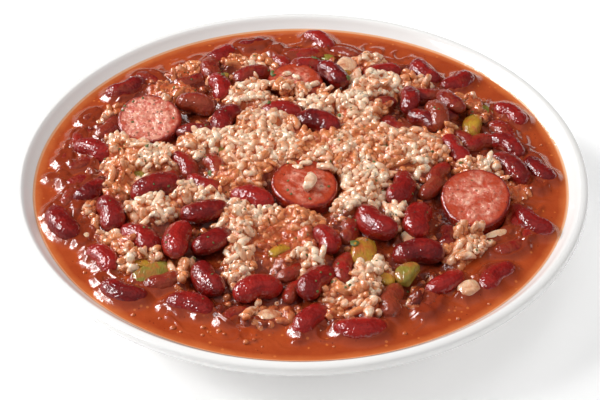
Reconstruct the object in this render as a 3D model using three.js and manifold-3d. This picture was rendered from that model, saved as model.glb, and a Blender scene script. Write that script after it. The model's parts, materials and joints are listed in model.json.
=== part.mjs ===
// Red beans and rice in a white coupe bowl: a low mound of rice with kidney beans, smoked
// sausage slices and diced vegetables on it, in a ring of gravy. Millimetres, +Z up, with the
// origin under the middle of the foot, on the surface that the bowl stands on.
import * as THREE from 'three';
import { mergeVertices } from 'three/addons/utils/BufferGeometryUtils.js';
import Module from 'manifold-3d';

const wasm = await Module();
wasm.setup();

// ---- Driving dimensions ----

const CLEARANCE = 0.3;
const BOWL = { radius: 115, height: 34, lip: 4, sides: 48 };
const FLOOR = { top: 7, under: 3, footRadius: 65.5, footWidth: 4 };
const GRAVY_LEVEL = 29.5;
const INNER_WALL = [
  [0, FLOOR.top], [56, FLOOR.top + 0.5], [78, 11], [92, 17.8], [106.8, GRAVY_LEVEL],
];

// The mound's edge wanders round its mean radius: each lump is [size, turns, phase].
const MOUND = { radius: 88, crown: 7.5, cells: 15, roughness: 0.9, smoothRim: 8 };
const MOUND_LUMPS = [[2.6, 3, 0.4], [2.0, 5, 2.1], [1.5, 8, 4.0], [1.1, 13, 1.2]];
const GRAIN = { length: 7, width: 2.6, sides: 5, rings: 3, count: 34, apart: 4.6 };

const BEAN = { widthShare: 0.56, thickShare: 0.46, bendShare: 0.11, notch: 0.9 };
const BEAN_FORM = { sides: 7, rings: 6, blunt: 0.86 };
const SUNK_FORM = { sides: 6, rings: 4, blunt: 0.86 };
const HOLLOW_FORM = { sides: 7, rings: 4, blunt: 0.6, swell: 1.025 };
const SLICE = { thickness: 8.4, edge: 1.4, sides: 16 };

// Beans that lie free on the mound or in the gravy: [x, y, heading, length, rise], where the
// heading is in degrees from +X and the rise is how far the bean's middle is above the food.
const BEANS = [
  [-75, 60, 37, 20, 1.2], [-34, 87, 45, 17, 0.6], [-35, 55, -75, 17, 2.2], [-30, 29, 65, 19, 2.2],
  [-23, 94, 15, 16, 0.3], [8, 96, -50, 18, 0.6], [13, 60.5, -56, 19, 4.4], [-8, 35, -5, 18, 1.2],
  [7, 24, -22, 21, 2.4], [35, 69, 20, 18, 1.2], [54, 71, -60, 19, 1.8], [67, 65, 40, 19, 1.2],
  [45, 44, 88, 17, 3.4], [62.5, 44, -58, 17, 4.2], [88, 41, -50, 19, 0.8], [85, 17, -45, 18, 1.6],
  [-85, 15, -30, 18, 1.4], [-84, -10, 50, 18, 1.4], [-93, -31, -60, 22, 0.2],
  [-75, -27, -75, 21, 2.2], [-57, -15, 20, 22, 2.2], [-39, -33, 15, 20, 2.0],
  [-35, -47, 40, 19, 2.4], [-61, -43, -50, 21, 2.0], [-48, -48, 85, 21, 2.4],
  [-76, -52, -55, 19, 1.0], [-19, -24, -25, 19, 1.4], [29, -37, -50, 22, 2.8],
  [9, -47, -70, 18, 1.6], [39, -16, 70, 20, 2.0], [63, 12, -65, 19, 1.8], [46, -34, 80, 22, 2.0],
  [84, 2, -50, 21, 1.6], [97, 5, -60, 19, -0.6], [92, -31, -45, 19, 0.8], [45, -56, 5, 21, 2.0],
  [-66, -70, -25, 20, 0.6], [-35, -66, -60, 20, 1.8], [-41, -78, -20, 20, 1.0],
  [-16, -73, 20, 20, 1.8], [6, -70, 55, 20, 2.2], [4, -87, 50, 18, 0.8], [22, -90, 3, 21, 0.8],
  [35, -74, 80, 20, 1.6], [54, -66, 35, 18, 1.4], [74, -62, 50, 20, 0.6],
  [56.5, 33.5, 100, 18, 3.4], [-44, 40, -18, 18, 2.8],
];

// Beans that are half sunk and coated, fused to the mound, in the same terms.
const SUNK_BEANS = [
  [-65, 67, -35, 18, -1.0], [-38, 74, -85, 18, 0.2], [-80, 32, 60, 18, 0], [-43, 23, -10, 17, 0.4],
  [1, 87, 0, 17, 0], [19, 87, -30, 17, 0], [-21, 67, 30, 18, 0.8], [-8, 77, -60, 16, 0],
  [3, 70, -3, 17, 2.6], [53, 52, 4, 17, 1.6], [33, 43, 20, 16, 0], [51, 31, -40, 17, 1.4],
  [39, 27, -50, 17, 0.4], [83, 29, -60, 17, 0], [-47, 1, -60, 17, 0.4], [-35, -1, -65, 16, 0.4],
  [-38, -12, -30, 17, 0.2], [74, 20, 30, 17, 0.2], [55, -4, 60, 16, 0], [84, -26, 80, 16, 0],
  [80, -44, 30, 17, -0.4], [-52, -64, 20, 17, 0], [17, -61, 80, 17, 0.6], [47, -76, 70, 17, -0.8],
];

// Sausage slices: [x, y, height of the upper face's middle, diameter, lean, lean's heading].
const SLICES = [
  [-62.5, 30.5, 37.4, 26, 16, -100], [1.5, -16, 40.2, 26.5, 7, -75],
  [68.5, -22, 37.4, 28, 15, -105], [-2.5, 57.5, 35.8, 25, 10, -90],
];

// Diced vegetables: [name, x, y, rise, length, width, thickness, curl, heading, roll, colour].
const VEGETABLES = [
  ['onion_1', 20, 75, 1.2, 12, 9, 4.0, 2.2, 70, 14, 0xc9752c],
  ['pepper_1', 71, 32, 1.4, 14, 8, 3.6, 1.8, 75, -15, 0xb08a2c],
  ['pepper_2', 24, -53, 2.6, 15, 10, 3.8, 2.4, 80, 14, 0xa8962f],
  ['pepper_3', 39, -62, 1.6, 12, 8, 3.6, 1.6, 60, -12, 0x7f7a2c],
  ['celery_1', -55, -59, 2.0, 16, 8, 3.6, 1.5, 30, 18, 0xa39a4a],
];

// Where plain rice shows: [x, y, half width, half depth, share of the grains].
const RICE_PATCHES = [
  [5, 2, 40, 24, 0.44], [-62, 4, 12, 16, 0.12], [-24, -42, 6, 14, 0.07], [18, -76, 13, 9, 0.08],
  [66, -50, 9, 8, 0.06], [32, 56, 12, 6, 0.06], [-20, 76, 8, 5, 0.04], [-56, -29, 8, 6, 0.05],
  [73, 40, 6, 9, 0.04], [90, -20, 6, 6, 0.04],
];

const COLOURS = {
  glaze: 0xf4f3f1, gravy: 0xa8431f, rice: 0xe4c8a0, bean: 0x5c120d, sausage: 0xb4553f,
};

const radians = THREE.MathUtils.degToRad;

let seed = 20417;

function random() {
  seed = (seed * 1664525 + 1013904223) % 4294967296;
  return seed / 4294967296;
}

function spread(low, high) {
  return low + (high - low) * random();
}

// ---- Closed geometries in and out of manifold-3d ----

function solidOf(geometry) {
  const bare = geometry.clone();
  for (const name of Object.keys(bare.attributes)) {
    if (name !== 'position') bare.deleteAttribute(name);
  }
  const merged = mergeVertices(bare, 1e-4);
  return new wasm.Manifold(new wasm.Mesh({
    numProp: 3,
    vertProperties: new Float32Array(merged.attributes.position.array),
    triVerts: new Uint32Array(merged.index.array),
  }));
}

function geometryOf(solid) {
  const mesh = solid.getMesh();
  const geometry = new THREE.BufferGeometry();
  geometry.setAttribute('position', new THREE.BufferAttribute(mesh.vertProperties, 3));
  geometry.setIndex(new THREE.BufferAttribute(mesh.triVerts, 1));
  geometry.computeVertexNormals();
  return geometry;
}

// The largest connected body of a solid, without the loose scraps that a cut leaves.
function mainBody(solid) {
  return solid.decompose().reduce((main, body) => (body.volume() > main.volume() ? body : main));
}

function moved(geometry, move) {
  const at = geometry.attributes.position;
  const point = new THREE.Vector3();
  for (let i = 0; i < at.count; i++) {
    point.fromBufferAttribute(at, i);
    move(point);
    at.setXYZ(i, point.x, point.y, point.z);
  }
  return geometry;
}

// A body turned round Z from [radius, height] points, with the material on their left.
function turned(profile, sides) {
  const points = profile.map(([radius, height]) => new THREE.Vector2(radius, height));
  return new THREE.LatheGeometry(points, sides).rotateX(Math.PI / 2);
}

function inPlace(geometry, mesh) {
  mesh.updateMatrixWorld();
  return solidOf(geometry.clone().applyMatrix4(mesh.matrixWorld));
}

// The hollow that a piece leaves in its neighbours: its plainer form, with room all round.
function hollow(mesh) {
  const { form, swell, room } = mesh.userData.hollow;
  const geometry = form.clone();
  geometry.computeBoundingBox();
  const size = geometry.boundingBox.getSize(new THREE.Vector3());
  const middle = geometry.boundingBox.getCenter(new THREE.Vector3());
  geometry.translate(-middle.x, -middle.y, -middle.z);
  geometry.scale(...size.toArray().map((side) => swell + 2 * room / side));
  geometry.translate(middle.x, middle.y, middle.z);
  return inPlace(geometry, mesh);
}

function finish(colour, roughness) {
  return new THREE.MeshStandardMaterial({ color: colour, roughness, metalness: 0 });
}

// ---- Bowl ----

function bowl() {
  const { radius, height, lip, sides } = BOWL;
  const foot = FLOOR.footRadius - FLOOR.footWidth;
  return turned([
    [0, FLOOR.under], [foot - 1.5, FLOOR.under], [foot, 0], [FLOOR.footRadius, 0],
    [FLOOR.footRadius + 1.5, FLOOR.under + 0.2], [84, 8.5], [radius - 2, height - 5.6],
    [radius - 0.3, height - 3.8], [radius, height - 1.4], [radius - 0.7, height - 0.4],
    [radius - 0.62 * lip, height], [radius - lip, height - 0.6], ...[...INNER_WALL].reverse(),
  ], sides);
}

function wallHeight(radius) {
  for (let i = 1; i < INNER_WALL.length; i++) {
    const [r0, z0] = INNER_WALL[i - 1];
    const [r1, z1] = INNER_WALL[i];
    if (radius <= r1) return z0 + (z1 - z0) * (radius - r0) / (r1 - r0);
  }
  return GRAVY_LEVEL;
}

// The wall beside the gravy is one slope: its foot, its angle, its normal and the way to it.
const [SLOPE_FOOT, SLOPE_HEAD] = INNER_WALL.slice(-2);
const SLOPE = Math.atan2(SLOPE_HEAD[1] - SLOPE_FOOT[1], SLOPE_HEAD[0] - SLOPE_FOOT[0]);

function wallNormal({ x, y }) {
  const out = new THREE.Vector3(x, y, 0).normalize();
  return out.multiplyScalar(-Math.sin(SLOPE)).setZ(Math.cos(SLOPE));
}

function wallGap({ x, y, z }) {
  const outwards = Math.hypot(x, y) - SLOPE_FOOT[0];
  return (z - SLOPE_FOOT[1]) * Math.cos(SLOPE) - outwards * Math.sin(SLOPE);
}

// ---- Mound of rice and ring of gravy ----

function moundEdge(angle) {
  const lump = ([size, turns, phase]) => size * Math.sin(turns * angle + phase);
  return MOUND_LUMPS.reduce((radius, row) => radius + lump(row), MOUND.radius);
}

function foodHeight(x, y) {
  const share = Math.hypot(x, y) / moundEdge(Math.atan2(y, x));
  return GRAVY_LEVEL + (share < 1 ? MOUND.crown * (1 - share * share) : 0);
}

// A turned body drawn with the mound's mean radius, whose edge is then moved to the real one
// and whose underside keeps the clearance to the bowl.
function alongEdge(profile, beyond) {
  const lift = CLEARANCE / Math.cos(SLOPE);
  return moved(turned(profile, BOWL.sides), (point) => {
    const drawn = Math.hypot(point.x, point.y);
    if (drawn > MOUND.radius + 0.1) return;
    const angle = Math.atan2(point.y, point.x);
    const radius = drawn * (moundEdge(angle) + beyond) / MOUND.radius;
    point.x = radius * Math.cos(angle);
    point.y = radius * Math.sin(angle);
    if (point.z < GRAVY_LEVEL - 0.1) point.z = wallHeight(radius) + lift;
  });
}

// All the room that the mound may fill: inside its edge and above the bowl.
function moundRoom() {
  const high = GRAVY_LEVEL + 30;
  return solidOf(alongEdge([
    [0, FLOOR.top], [56, FLOOR.top], [78, 11], [MOUND.radius, 16],
    [MOUND.radius, GRAVY_LEVEL + 0.5], [MOUND.radius, high], [0, high],
  ], -CLEARANCE));
}

// The bare mound, on a net that is finest in the middle, with bumps where the rice is.
function moundCore() {
  const half = MOUND.radius + 10;
  const net = new THREE.BoxGeometry(2, 2, 40, MOUND.cells, MOUND.cells, 1).translate(0, 0, 20);
  const closer = (share) => half * share * (0.5 + 0.5 * share * share);
  moved(net, (point) => {
    point.x = closer(point.x);
    point.y = closer(point.y);
    if (point.z < 1) return;
    const rim = moundEdge(Math.atan2(point.y, point.x)) - Math.hypot(point.x, point.y);
    const bump = rim > MOUND.smoothRim ? spread(-1, 1) * MOUND.roughness : 0;
    point.z = foodHeight(point.x, point.y) + bump + 0.2;
  });
  return solidOf(net).intersect(moundRoom());
}

function gravyRing() {
  const lift = CLEARANCE / Math.cos(SLOPE);
  const shore = SLOPE_HEAD[0] - lift / Math.tan(SLOPE) - 0.02;
  return solidOf(alongEdge([
    [MOUND.radius, 16], [SLOPE_FOOT[0], SLOPE_FOOT[1] + lift], [shore, GRAVY_LEVEL],
    [MOUND.radius, GRAVY_LEVEL], [MOUND.radius, 16],
  ], CLEARANCE));
}

// A grain of rice that stands out of the mound.
function grain(x, y) {
  const geometry = new THREE.SphereGeometry(0.5, GRAIN.sides, GRAIN.rings).rotateZ(Math.PI / 2);
  geometry.scale(GRAIN.length * spread(0.85, 1.05), GRAIN.width, GRAIN.width);
  geometry.rotateY(radians(spread(-14, 14))).rotateZ(spread(0, Math.PI));
  return solidOf(geometry.translate(x, y, foodHeight(x, y) + spread(0.5, 0.9)));
}

function grainPlaces(taken) {
  const places = [];
  const free = (x, y) => [...taken, ...places].every(
    ([px, py, apart]) => Math.hypot(x - px, y - py) > apart,
  );
  for (const [x, y, halfWidth, halfDepth, share] of RICE_PATCHES) {
    let wanted = Math.round(share * GRAIN.count);
    for (let tries = 0; tries < 400 && wanted > 0; tries++) {
      const angle = spread(0, 2 * Math.PI);
      const out = Math.sqrt(random());
      const px = x + out * halfWidth * Math.cos(angle);
      const py = y + out * halfDepth * Math.sin(angle);
      if (!free(px, py)) continue;
      places.push([px, py, GRAIN.apart]);
      wanted -= 1;
    }
  }
  return places;
}

// ---- Kidney beans ----

// How far the bean's middle line bows towards +Y, at a distance x from the bean's middle.
function bow(length, x) {
  return length * BEAN.bendShare * (0.5 - 2 * (x / length) ** 2);
}

// A kidney bean along X: blunt ends, a bowed back and a notch in its belly.
function bean(length, { sides, rings, blunt }) {
  const ball = new THREE.SphereGeometry(1, sides, rings).rotateZ(-Math.PI / 2);
  return moved(ball, (point) => {
    const round = Math.hypot(point.y, point.z);
    const fuller = round > 1e-6 ? round ** blunt / round : 1;
    const along = Math.sign(point.x) * Math.abs(point.x) ** blunt;
    const belly = Math.max(0, -point.y) * Math.exp(-((along / 0.36) ** 2));
    const x = along * length / 2;
    const y = point.y * fuller * length * BEAN.widthShare / 2;
    const z = point.z * fuller * length * BEAN.thickShare / 2;
    point.set(x, y + bow(length, x) + BEAN.notch * belly, z);
  });
}

function beanMesh(name, [x, y, heading, length, rise], form = BEAN_FORM) {
  const mesh = new THREE.Mesh(bean(length, form), finish(COLOURS.bean, 0.3));
  const turn = heading + (random() < 0.5 ? 180 : 0);
  const roll = spread(-28, 28);
  const pitch = spread(-6, 6);
  mesh.name = name;
  mesh.position.set(x, y, foodHeight(x, y) + rise);
  mesh.rotation.set(radians(roll), radians(pitch), radians(turn), 'ZYX');
  const girth = length * (BEAN.widthShare + BEAN.thickShare) / 4;
  const ball = (share) => {
    const at = share * (length / 2 - girth);
    return [new THREE.Vector3(at, bow(length, at), 0), girth];
  };
  mesh.userData.balls = [-1, -0.5, 0, 0.5, 1].map(ball);
  mesh.userData.looseness = 1;
  mesh.userData.hollow = {
    form: bean(length, HOLLOW_FORM), swell: HOLLOW_FORM.swell, room: 1.1 * CLEARANCE,
  };
  return mesh;
}

// ---- Sausage slices ----

function slice(diameter, corners) {
  const oval = (angle) => 1 + 0.02 * Math.cos(2 * angle) + 0.012 * Math.sin(3 * angle);
  const half = SLICE.thickness / 2;
  const side = corners.map(([inwards, height]) => [diameter / 2 - inwards, height]);
  return moved(turned([[0, -half], ...side, [0, half]], SLICE.sides), (point) => {
    const size = oval(Math.atan2(point.y, point.x));
    point.x *= size;
    point.y *= size;
  });
}

function sliceMesh(name, [x, y, z, diameter, lean, heading]) {
  const half = SLICE.thickness / 2;
  const { edge } = SLICE;
  const rounded = [[edge, -half], [0, edge - half], [0, half - edge], [edge, half]];
  const mesh = new THREE.Mesh(slice(diameter, rounded), finish(COLOURS.sausage, 0.45));
  const hinge = new THREE.Vector3(-Math.sin(radians(heading)), Math.cos(radians(heading)), 0);
  mesh.name = name;
  mesh.quaternion.setFromAxisAngle(hinge, radians(lean));
  const down = new THREE.Vector3(0, 0, -1).applyQuaternion(mesh.quaternion);
  mesh.position.set(x, y, z).addScaledVector(down, half);
  const ring = [0, 0.5, 1].flatMap((share) => Array.from({ length: 10 }, (_, turn) => {
    const angle = turn * Math.PI / 5;
    const out = share * (diameter / 2 - half);
    return [new THREE.Vector3(out * Math.cos(angle), out * Math.sin(angle), 0), half];
  }));
  mesh.userData.balls = ring;
  mesh.userData.looseness = 0;
  const square = [[0, -half], [0, half]];
  mesh.userData.hollow = { form: slice(diameter, square), swell: 1, room: 1.1 * CLEARANCE };
  return mesh;
}

// ---- Diced vegetables ----

// A curled flat piece whose sides narrow towards its ends.
function dice(length, width, thick, curl, room) {
  const geometry = new THREE.BoxGeometry(length + room, width + room, thick + room, 4, 3, 1);
  return moved(geometry, (point) => {
    const u = 2 * point.x / length;
    const v = 2 * point.y / width;
    point.z -= curl * (u * u + 0.4 * v * v - 0.5);
    point.x *= 1 - 0.16 * v * v;
    point.y *= 1 - 0.2 * u * u;
  });
}

function diceMesh([name, x, y, rise, length, width, thick, curl, heading, roll, colour]) {
  const mesh = new THREE.Mesh(dice(length, width, thick, curl, 0), finish(colour, 0.35));
  mesh.name = name;
  mesh.position.set(x, y, foodHeight(x, y) + rise);
  mesh.rotation.set(radians(roll), 0, radians(heading), 'ZYX');
  mesh.userData.balls = [-1, 0, 1].map((share) => [
    new THREE.Vector3(share * (length - width) / 2, 0, 0.3 * curl), width / 2,
  ]);
  mesh.userData.looseness = 0.5;
  const form = dice(length, width, thick, curl, 3 * CLEARANCE);
  mesh.userData.hollow = { form, swell: 1, room: CLEARANCE };
  return mesh;
}

// ---- Settling: pieces that would cross are pushed apart, and off the bowl's wall ----

function ballsOf(mesh) {
  mesh.updateMatrixWorld();
  return mesh.userData.balls.map(([at, radius]) => [at.clone().applyMatrix4(mesh.matrixWorld), radius]);
}

function deepestPress(ballsA, ballsB) {
  let worst = { depth: 0, push: null };
  for (const [a, radiusA] of ballsA) {
    for (const [b, radiusB] of ballsB) {
      const depth = radiusA + radiusB + CLEARANCE - a.distanceTo(b);
      if (depth > worst.depth) worst = { depth, push: a.clone().sub(b).normalize() };
    }
  }
  return worst;
}

function settle(meshes) {
  const balls = meshes.map(ballsOf);
  const shift = (i, push, distance) => {
    if (distance === 0) return;
    meshes[i].position.addScaledVector(push, distance);
    balls[i] = ballsOf(meshes[i]);
  };
  for (let round = 0; round < 240; round++) {
    for (let i = 0; i < meshes.length; i++) {
      for (let j = 0; j < i; j++) {
        const { depth, push } = deepestPress(balls[i], balls[j]);
        const looseI = meshes[i].userData.looseness;
        const looseJ = meshes[j].userData.looseness;
        if (depth < 0.01 || looseI + looseJ === 0) continue;
        const share = 0.5 * depth / (looseI + looseJ);
        shift(i, push, share * looseI);
        shift(j, push, -share * looseJ);
      }
      const lacking = balls[i].map(([at, radius]) => radius + CLEARANCE - wallGap(at));
      shift(i, wallNormal(meshes[i].position), Math.max(0, ...lacking));
    }
  }
}

// A soft piece gives way where it still presses on one that was placed before it.
function giveWay(mesh, earlier) {
  const whole = inPlace(mesh.geometry, mesh);
  const pressed = earlier.filter((other) => !whole.intersect(inPlace(other.geometry, other)).isEmpty());
  if (pressed.length === 0) return;
  const rest = pressed.reduce((body, other) => body.subtract(hollow(other)), whole);
  mesh.geometry = geometryOf(mainBody(rest)).applyMatrix4(mesh.matrixWorld.clone().invert());
}

// ---- The plated food ----

const slices = SLICES.map((row, i) => sliceMesh(`sausage_${i + 1}`, row));
const vegetables = VEGETABLES.map(diceMesh);
const beans = BEANS.map((row, i) => beanMesh(`bean_${String(i + 1).padStart(2, '0')}`, row));
const toppings = [...slices, ...vegetables, ...beans];
settle(toppings);
toppings.forEach((mesh, i) => giveWay(mesh, toppings.slice(0, i)));

const taken = toppings.flatMap(
  (mesh) => ballsOf(mesh).map(([at, radius]) => [at.x, at.y, radius + GRAIN.length / 2]),
);
const sunkBeans = SUNK_BEANS.map((row) => beanMesh('sunk', row, SUNK_FORM));
const grains = grainPlaces(taken).map(([x, y]) => grain(x, y));

let rice = moundCore();
for (const piece of [...sunkBeans.map((mesh) => inPlace(mesh.geometry, mesh)), ...grains]) {
  rice = rice.add(piece);
}
rice = rice.intersect(moundRoom());
let gravy = gravyRing();
for (const mesh of toppings) {
  rice = rice.subtract(hollow(mesh));
  gravy = gravy.subtract(hollow(mesh));
}

function bodyMesh(name, geometry, material) {
  const mesh = new THREE.Mesh(geometry, material);
  mesh.name = name;
  return mesh;
}

const food = new THREE.Group();
food.add(bodyMesh('rice', geometryOf(mainBody(rice)), finish(COLOURS.rice, 0.6)));
food.add(bodyMesh('gravy', geometryOf(mainBody(gravy)), finish(COLOURS.gravy, 0.2)));
food.add(...toppings);

const plated = new THREE.Group();
plated.name = 'red_beans_and_rice';
plated.add(bodyMesh('bowl', bowl(), finish(COLOURS.glaze, 0.15)));
plated.add(food);

export default plated;
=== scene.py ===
import json
import math

import bmesh
import bpy
import numpy as np
from bpy.props import FloatProperty, FloatVectorProperty, IntProperty, PointerProperty
from mathutils import Euler, Matrix, Vector, noise
from mathutils.bvhtree import BVHTree

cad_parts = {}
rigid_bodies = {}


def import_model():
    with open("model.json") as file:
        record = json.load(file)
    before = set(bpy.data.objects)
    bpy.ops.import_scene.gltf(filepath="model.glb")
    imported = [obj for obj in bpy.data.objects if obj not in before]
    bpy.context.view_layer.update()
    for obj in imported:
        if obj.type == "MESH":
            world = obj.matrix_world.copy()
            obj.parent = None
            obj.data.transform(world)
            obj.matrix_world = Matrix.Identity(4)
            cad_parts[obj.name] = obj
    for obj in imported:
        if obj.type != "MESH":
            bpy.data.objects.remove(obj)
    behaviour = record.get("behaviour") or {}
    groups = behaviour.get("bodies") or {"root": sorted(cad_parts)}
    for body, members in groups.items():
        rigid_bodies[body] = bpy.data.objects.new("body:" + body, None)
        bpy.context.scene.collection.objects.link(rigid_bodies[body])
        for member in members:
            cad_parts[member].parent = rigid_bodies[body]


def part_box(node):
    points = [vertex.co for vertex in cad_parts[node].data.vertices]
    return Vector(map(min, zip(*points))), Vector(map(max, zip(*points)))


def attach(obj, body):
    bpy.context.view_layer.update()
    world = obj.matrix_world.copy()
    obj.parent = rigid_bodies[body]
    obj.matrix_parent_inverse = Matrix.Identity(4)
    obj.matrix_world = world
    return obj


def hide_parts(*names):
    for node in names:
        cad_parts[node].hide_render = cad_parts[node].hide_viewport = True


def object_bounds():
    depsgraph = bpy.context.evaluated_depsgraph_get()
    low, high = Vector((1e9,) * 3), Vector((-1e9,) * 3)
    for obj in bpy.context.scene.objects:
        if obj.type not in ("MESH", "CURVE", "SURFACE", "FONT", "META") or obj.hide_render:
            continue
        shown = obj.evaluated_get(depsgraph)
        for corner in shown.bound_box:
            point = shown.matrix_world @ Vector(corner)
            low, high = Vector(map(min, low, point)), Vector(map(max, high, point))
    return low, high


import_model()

CAD_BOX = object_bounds()
BOWL_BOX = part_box("bowl")

bl_info = {
    "name": "Red Beans and Rice",
    "version": (1, 0, 0),
    "blender": (4, 5, 0),
    "location": "3D View > Sidebar > Plated Food",
    "description": "Makes a bowl of red beans and rice with smoked sausage in gravy",
    "category": "Add Mesh",
}

# Lengths in this file are in millimetres, and pieces are scaled to metres as they are finished.
MM = 0.001
SEED = 20417
# Height of the highest point of the food.
TOP = CAD_BOX[1].z / MM

# ---- Plan of the plate ----

# The bowl's section as [radius, height], from the middle of the foot round the lip to the middle
# of the floor. A repeated point keeps a corner.
BOWL_SECTION = [
    (0, 3), (0, 3), (58, 3), (60, 2.8), (61.3, 0.5), (62, 0), (65, 0), (66, 0.5), (67, 3.2),
    (74, 5.0), (84, 8.5), (99, 18.2), (113, 28.4), (114.7, 30.2), (115, 32.4), (114.3, 33.5),
    (112.5, 33.97), (111, 33.4), (106.8, 29.5), (92, 17.8), (78, 11), (56, 7.5), (0, 7), (0, 7),
]
INNER_WALL = [(0, 7), (56, 7.5), (78, 11), (92, 17.8), (106.8, 29.5), (111, 33.4)]

# The mound's edge wanders round its mean radius: each lump is (size, turns, phase).
MOUND_LUMPS = [(2.6, 3, 0.4), (2.0, 5, 2.1), (1.5, 8, 4.0), (1.1, 13, 1.2)]

# Kidney beans that lie free: (heading in degrees, length). Their places come from the frame.
BEANS = [
    (37, 20), (45, 17), (-75, 17), (65, 19), (15, 16), (-50, 18), (-56, 19), (-5, 18), (-22, 21),
    (20, 18), (-60, 19), (40, 19), (88, 17), (-58, 17), (-50, 19), (-45, 18), (-30, 18), (50, 18),
    (-60, 22), (-75, 21), (20, 22), (15, 20), (40, 19), (-50, 21), (85, 21), (-55, 19), (-25, 19),
    (-50, 22), (-70, 18), (70, 20), (-65, 19), (80, 22), (-50, 21), (-60, 19), (-45, 19), (5, 21),
    (-25, 20), (-60, 20), (-20, 20), (20, 20), (55, 20), (50, 18), (3, 21), (80, 20), (35, 18),
    (50, 20), (100, 18), (-18, 18),
]
# How thickly gravy coats some of them, from 0 to 1, by their number.
COATED = {44: 0.75, 47: 0.6, 48: 0.55, 14: 0.35, 33: 0.2, 1: 0.25, 12: 0.25}

# Beans that are half sunk in the mound: (x, y, heading, length, rise).
SUNK_BEANS = [
    (-65, 67, -35, 18, -1.0), (-38, 74, -85, 18, 0.2), (-80, 32, 60, 18, 0), (-43, 23, -10, 17, 0.4),
    (1, 87, 0, 17, 0), (19, 87, -30, 17, 0), (-21, 67, 30, 18, 0.8), (-8, 77, -60, 16, 0),
    (3, 70, -3, 17, 2.6), (53, 52, 4, 17, 1.6), (33, 43, 20, 16, 0), (51, 31, -40, 17, 1.4),
    (39, 27, -50, 17, 0.4), (83, 29, -60, 17, 0), (-47, 1, -60, 17, 0.4), (-35, -1, -65, 16, 0.4),
    (-38, -12, -30, 17, 0.2), (74, 20, 30, 17, 0.2), (55, -4, 60, 16, 0), (84, -26, 80, 16, 0),
    (80, -44, 30, 17, -0.4), (-52, -64, 20, 17, 0), (17, -61, 80, 17, 0.6), (47, -76, 70, 17, -0.8),
]
# Beans that lie deeper, so that only a back or an end shows, in the same terms.
DEEP_BEANS = [
    (-24, -83, 30, 15, -1.4), (-93, -14, 70, 15, -0.3), (-90, 8, 35, 14, 0.1), (-93, 24, 80, 15, -0.2),
    (59, 36, 20, 15, 0.2), (18, -40, 80, 15, -0.6), (-4, -62, 40, 14, -0.8), (-48, 66, 25, 15, -0.6),
    (-88, 28, 70, 14, -1.2), (56, -40, 85, 15, -0.6), (51, -13, 60, 15, 0.2), (-2, -71, 60, 14, -1.0),
    (93, 14, -50, 15, -1.8), (-54, -4, 10, 14, -1.0), (66, 22, -40, 14, -0.4),
    (-97, 13, 75, 11, -0.5), (-98, 0, 20, 9, -0.4), (-90, -3, 25, 13, 0.1), (-97, -22, 65, 11, -0.7),
    (-90, -24, 70, 12, -0.4), (-88, 40, 60, 13, -0.5), (88, -34, 75, 14, 0), (95, -4, 80, 12, -1.0),
    (-72, -64, -40, 13, -0.8), (88, 44, -60, 13, -0.8),
]

# Sausage slices: (diameter, lean, lean's heading, how much sauce films the cut face). Their places
# come from the frame.
SLICES = [(26, 16, -100, 0.2), (26.5, 7, -75, 0.54), (28, 15, -105, 0.42), (25, 10, -90, 0.5)]

# Diced vegetables: (node, kind, length, width, thickness, curl, heading, roll). Their places come
# from the frame.
VEGETABLES = [
    ("onion_1", "onion", 12, 9, 4.0, 2.2, 70, 14), ("pepper_1", "pepper", 14, 8, 3.6, 1.8, 75, -15),
    ("pepper_2", "pepper", 15, 10, 3.8, 2.4, 80, 14), ("pepper_3", "celery", 12, 8, 3.6, 1.6, 60, -12),
    ("celery_1", "celery", 16, 8, 3.6, 1.5, 30, 18),
]
# Smaller bits: (kind, x, y, rise, length, width, thickness, curl, heading, roll).
BITS = [
    ("onion", 42, -43, 1.2, 7, 6, 3.0, 0.8, 20, 10), ("onion", 63, -69.5, 1.5, 9.5, 7, 4.6, 1.2, 35, 8),
    ("onion", 76, -38, 1.0, 13, 5, 2.2, 1.8, 25, 20), ("pepper", -11, 89, 0.6, 9, 5, 2.6, 1.2, 80, 10),
    ("onion", -84, -38, 0.4, 12, 5, 2.0, 1.6, 75, -15), ("onion", -12, -84, 0.4, 10, 6, 2.6, 1.4, 10, 0),
    ("celery", 12, 83, 0.6, 7, 4, 2.2, 0.8, -20, 8), ("celery", -33, 66, 0.8, 6, 4, 2.0, 0.6, 60, 0),
    ("celery", -64, -4, 1.2, 7, 4, 2.0, 0.6, -15, 12), ("pepper", -60, -56, 1.4, 8, 4, 2.2, 0.8, -20, 0),
    ("pepper", 32, -66, 1.4, 7, 5, 2.4, 0.8, -40, 10), ("pepper", -8, -52, 0.8, 9, 5, 2.2, 1.0, 35, 0),
    ("pepper", 19, 66, 1.4, 6, 5, 2.6, 0.8, 0, 0), ("celery", -32, 8, 1.6, 5, 3, 1.8, 0.4, 50, 0),
    ("pepper", -84, -30, 0.6, 8, 4, 2.2, 1.0, 80, 8), ("celery", 78, 44, 1.2, 8, 4, 2.0, 0.6, -60, 0),
]

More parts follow.
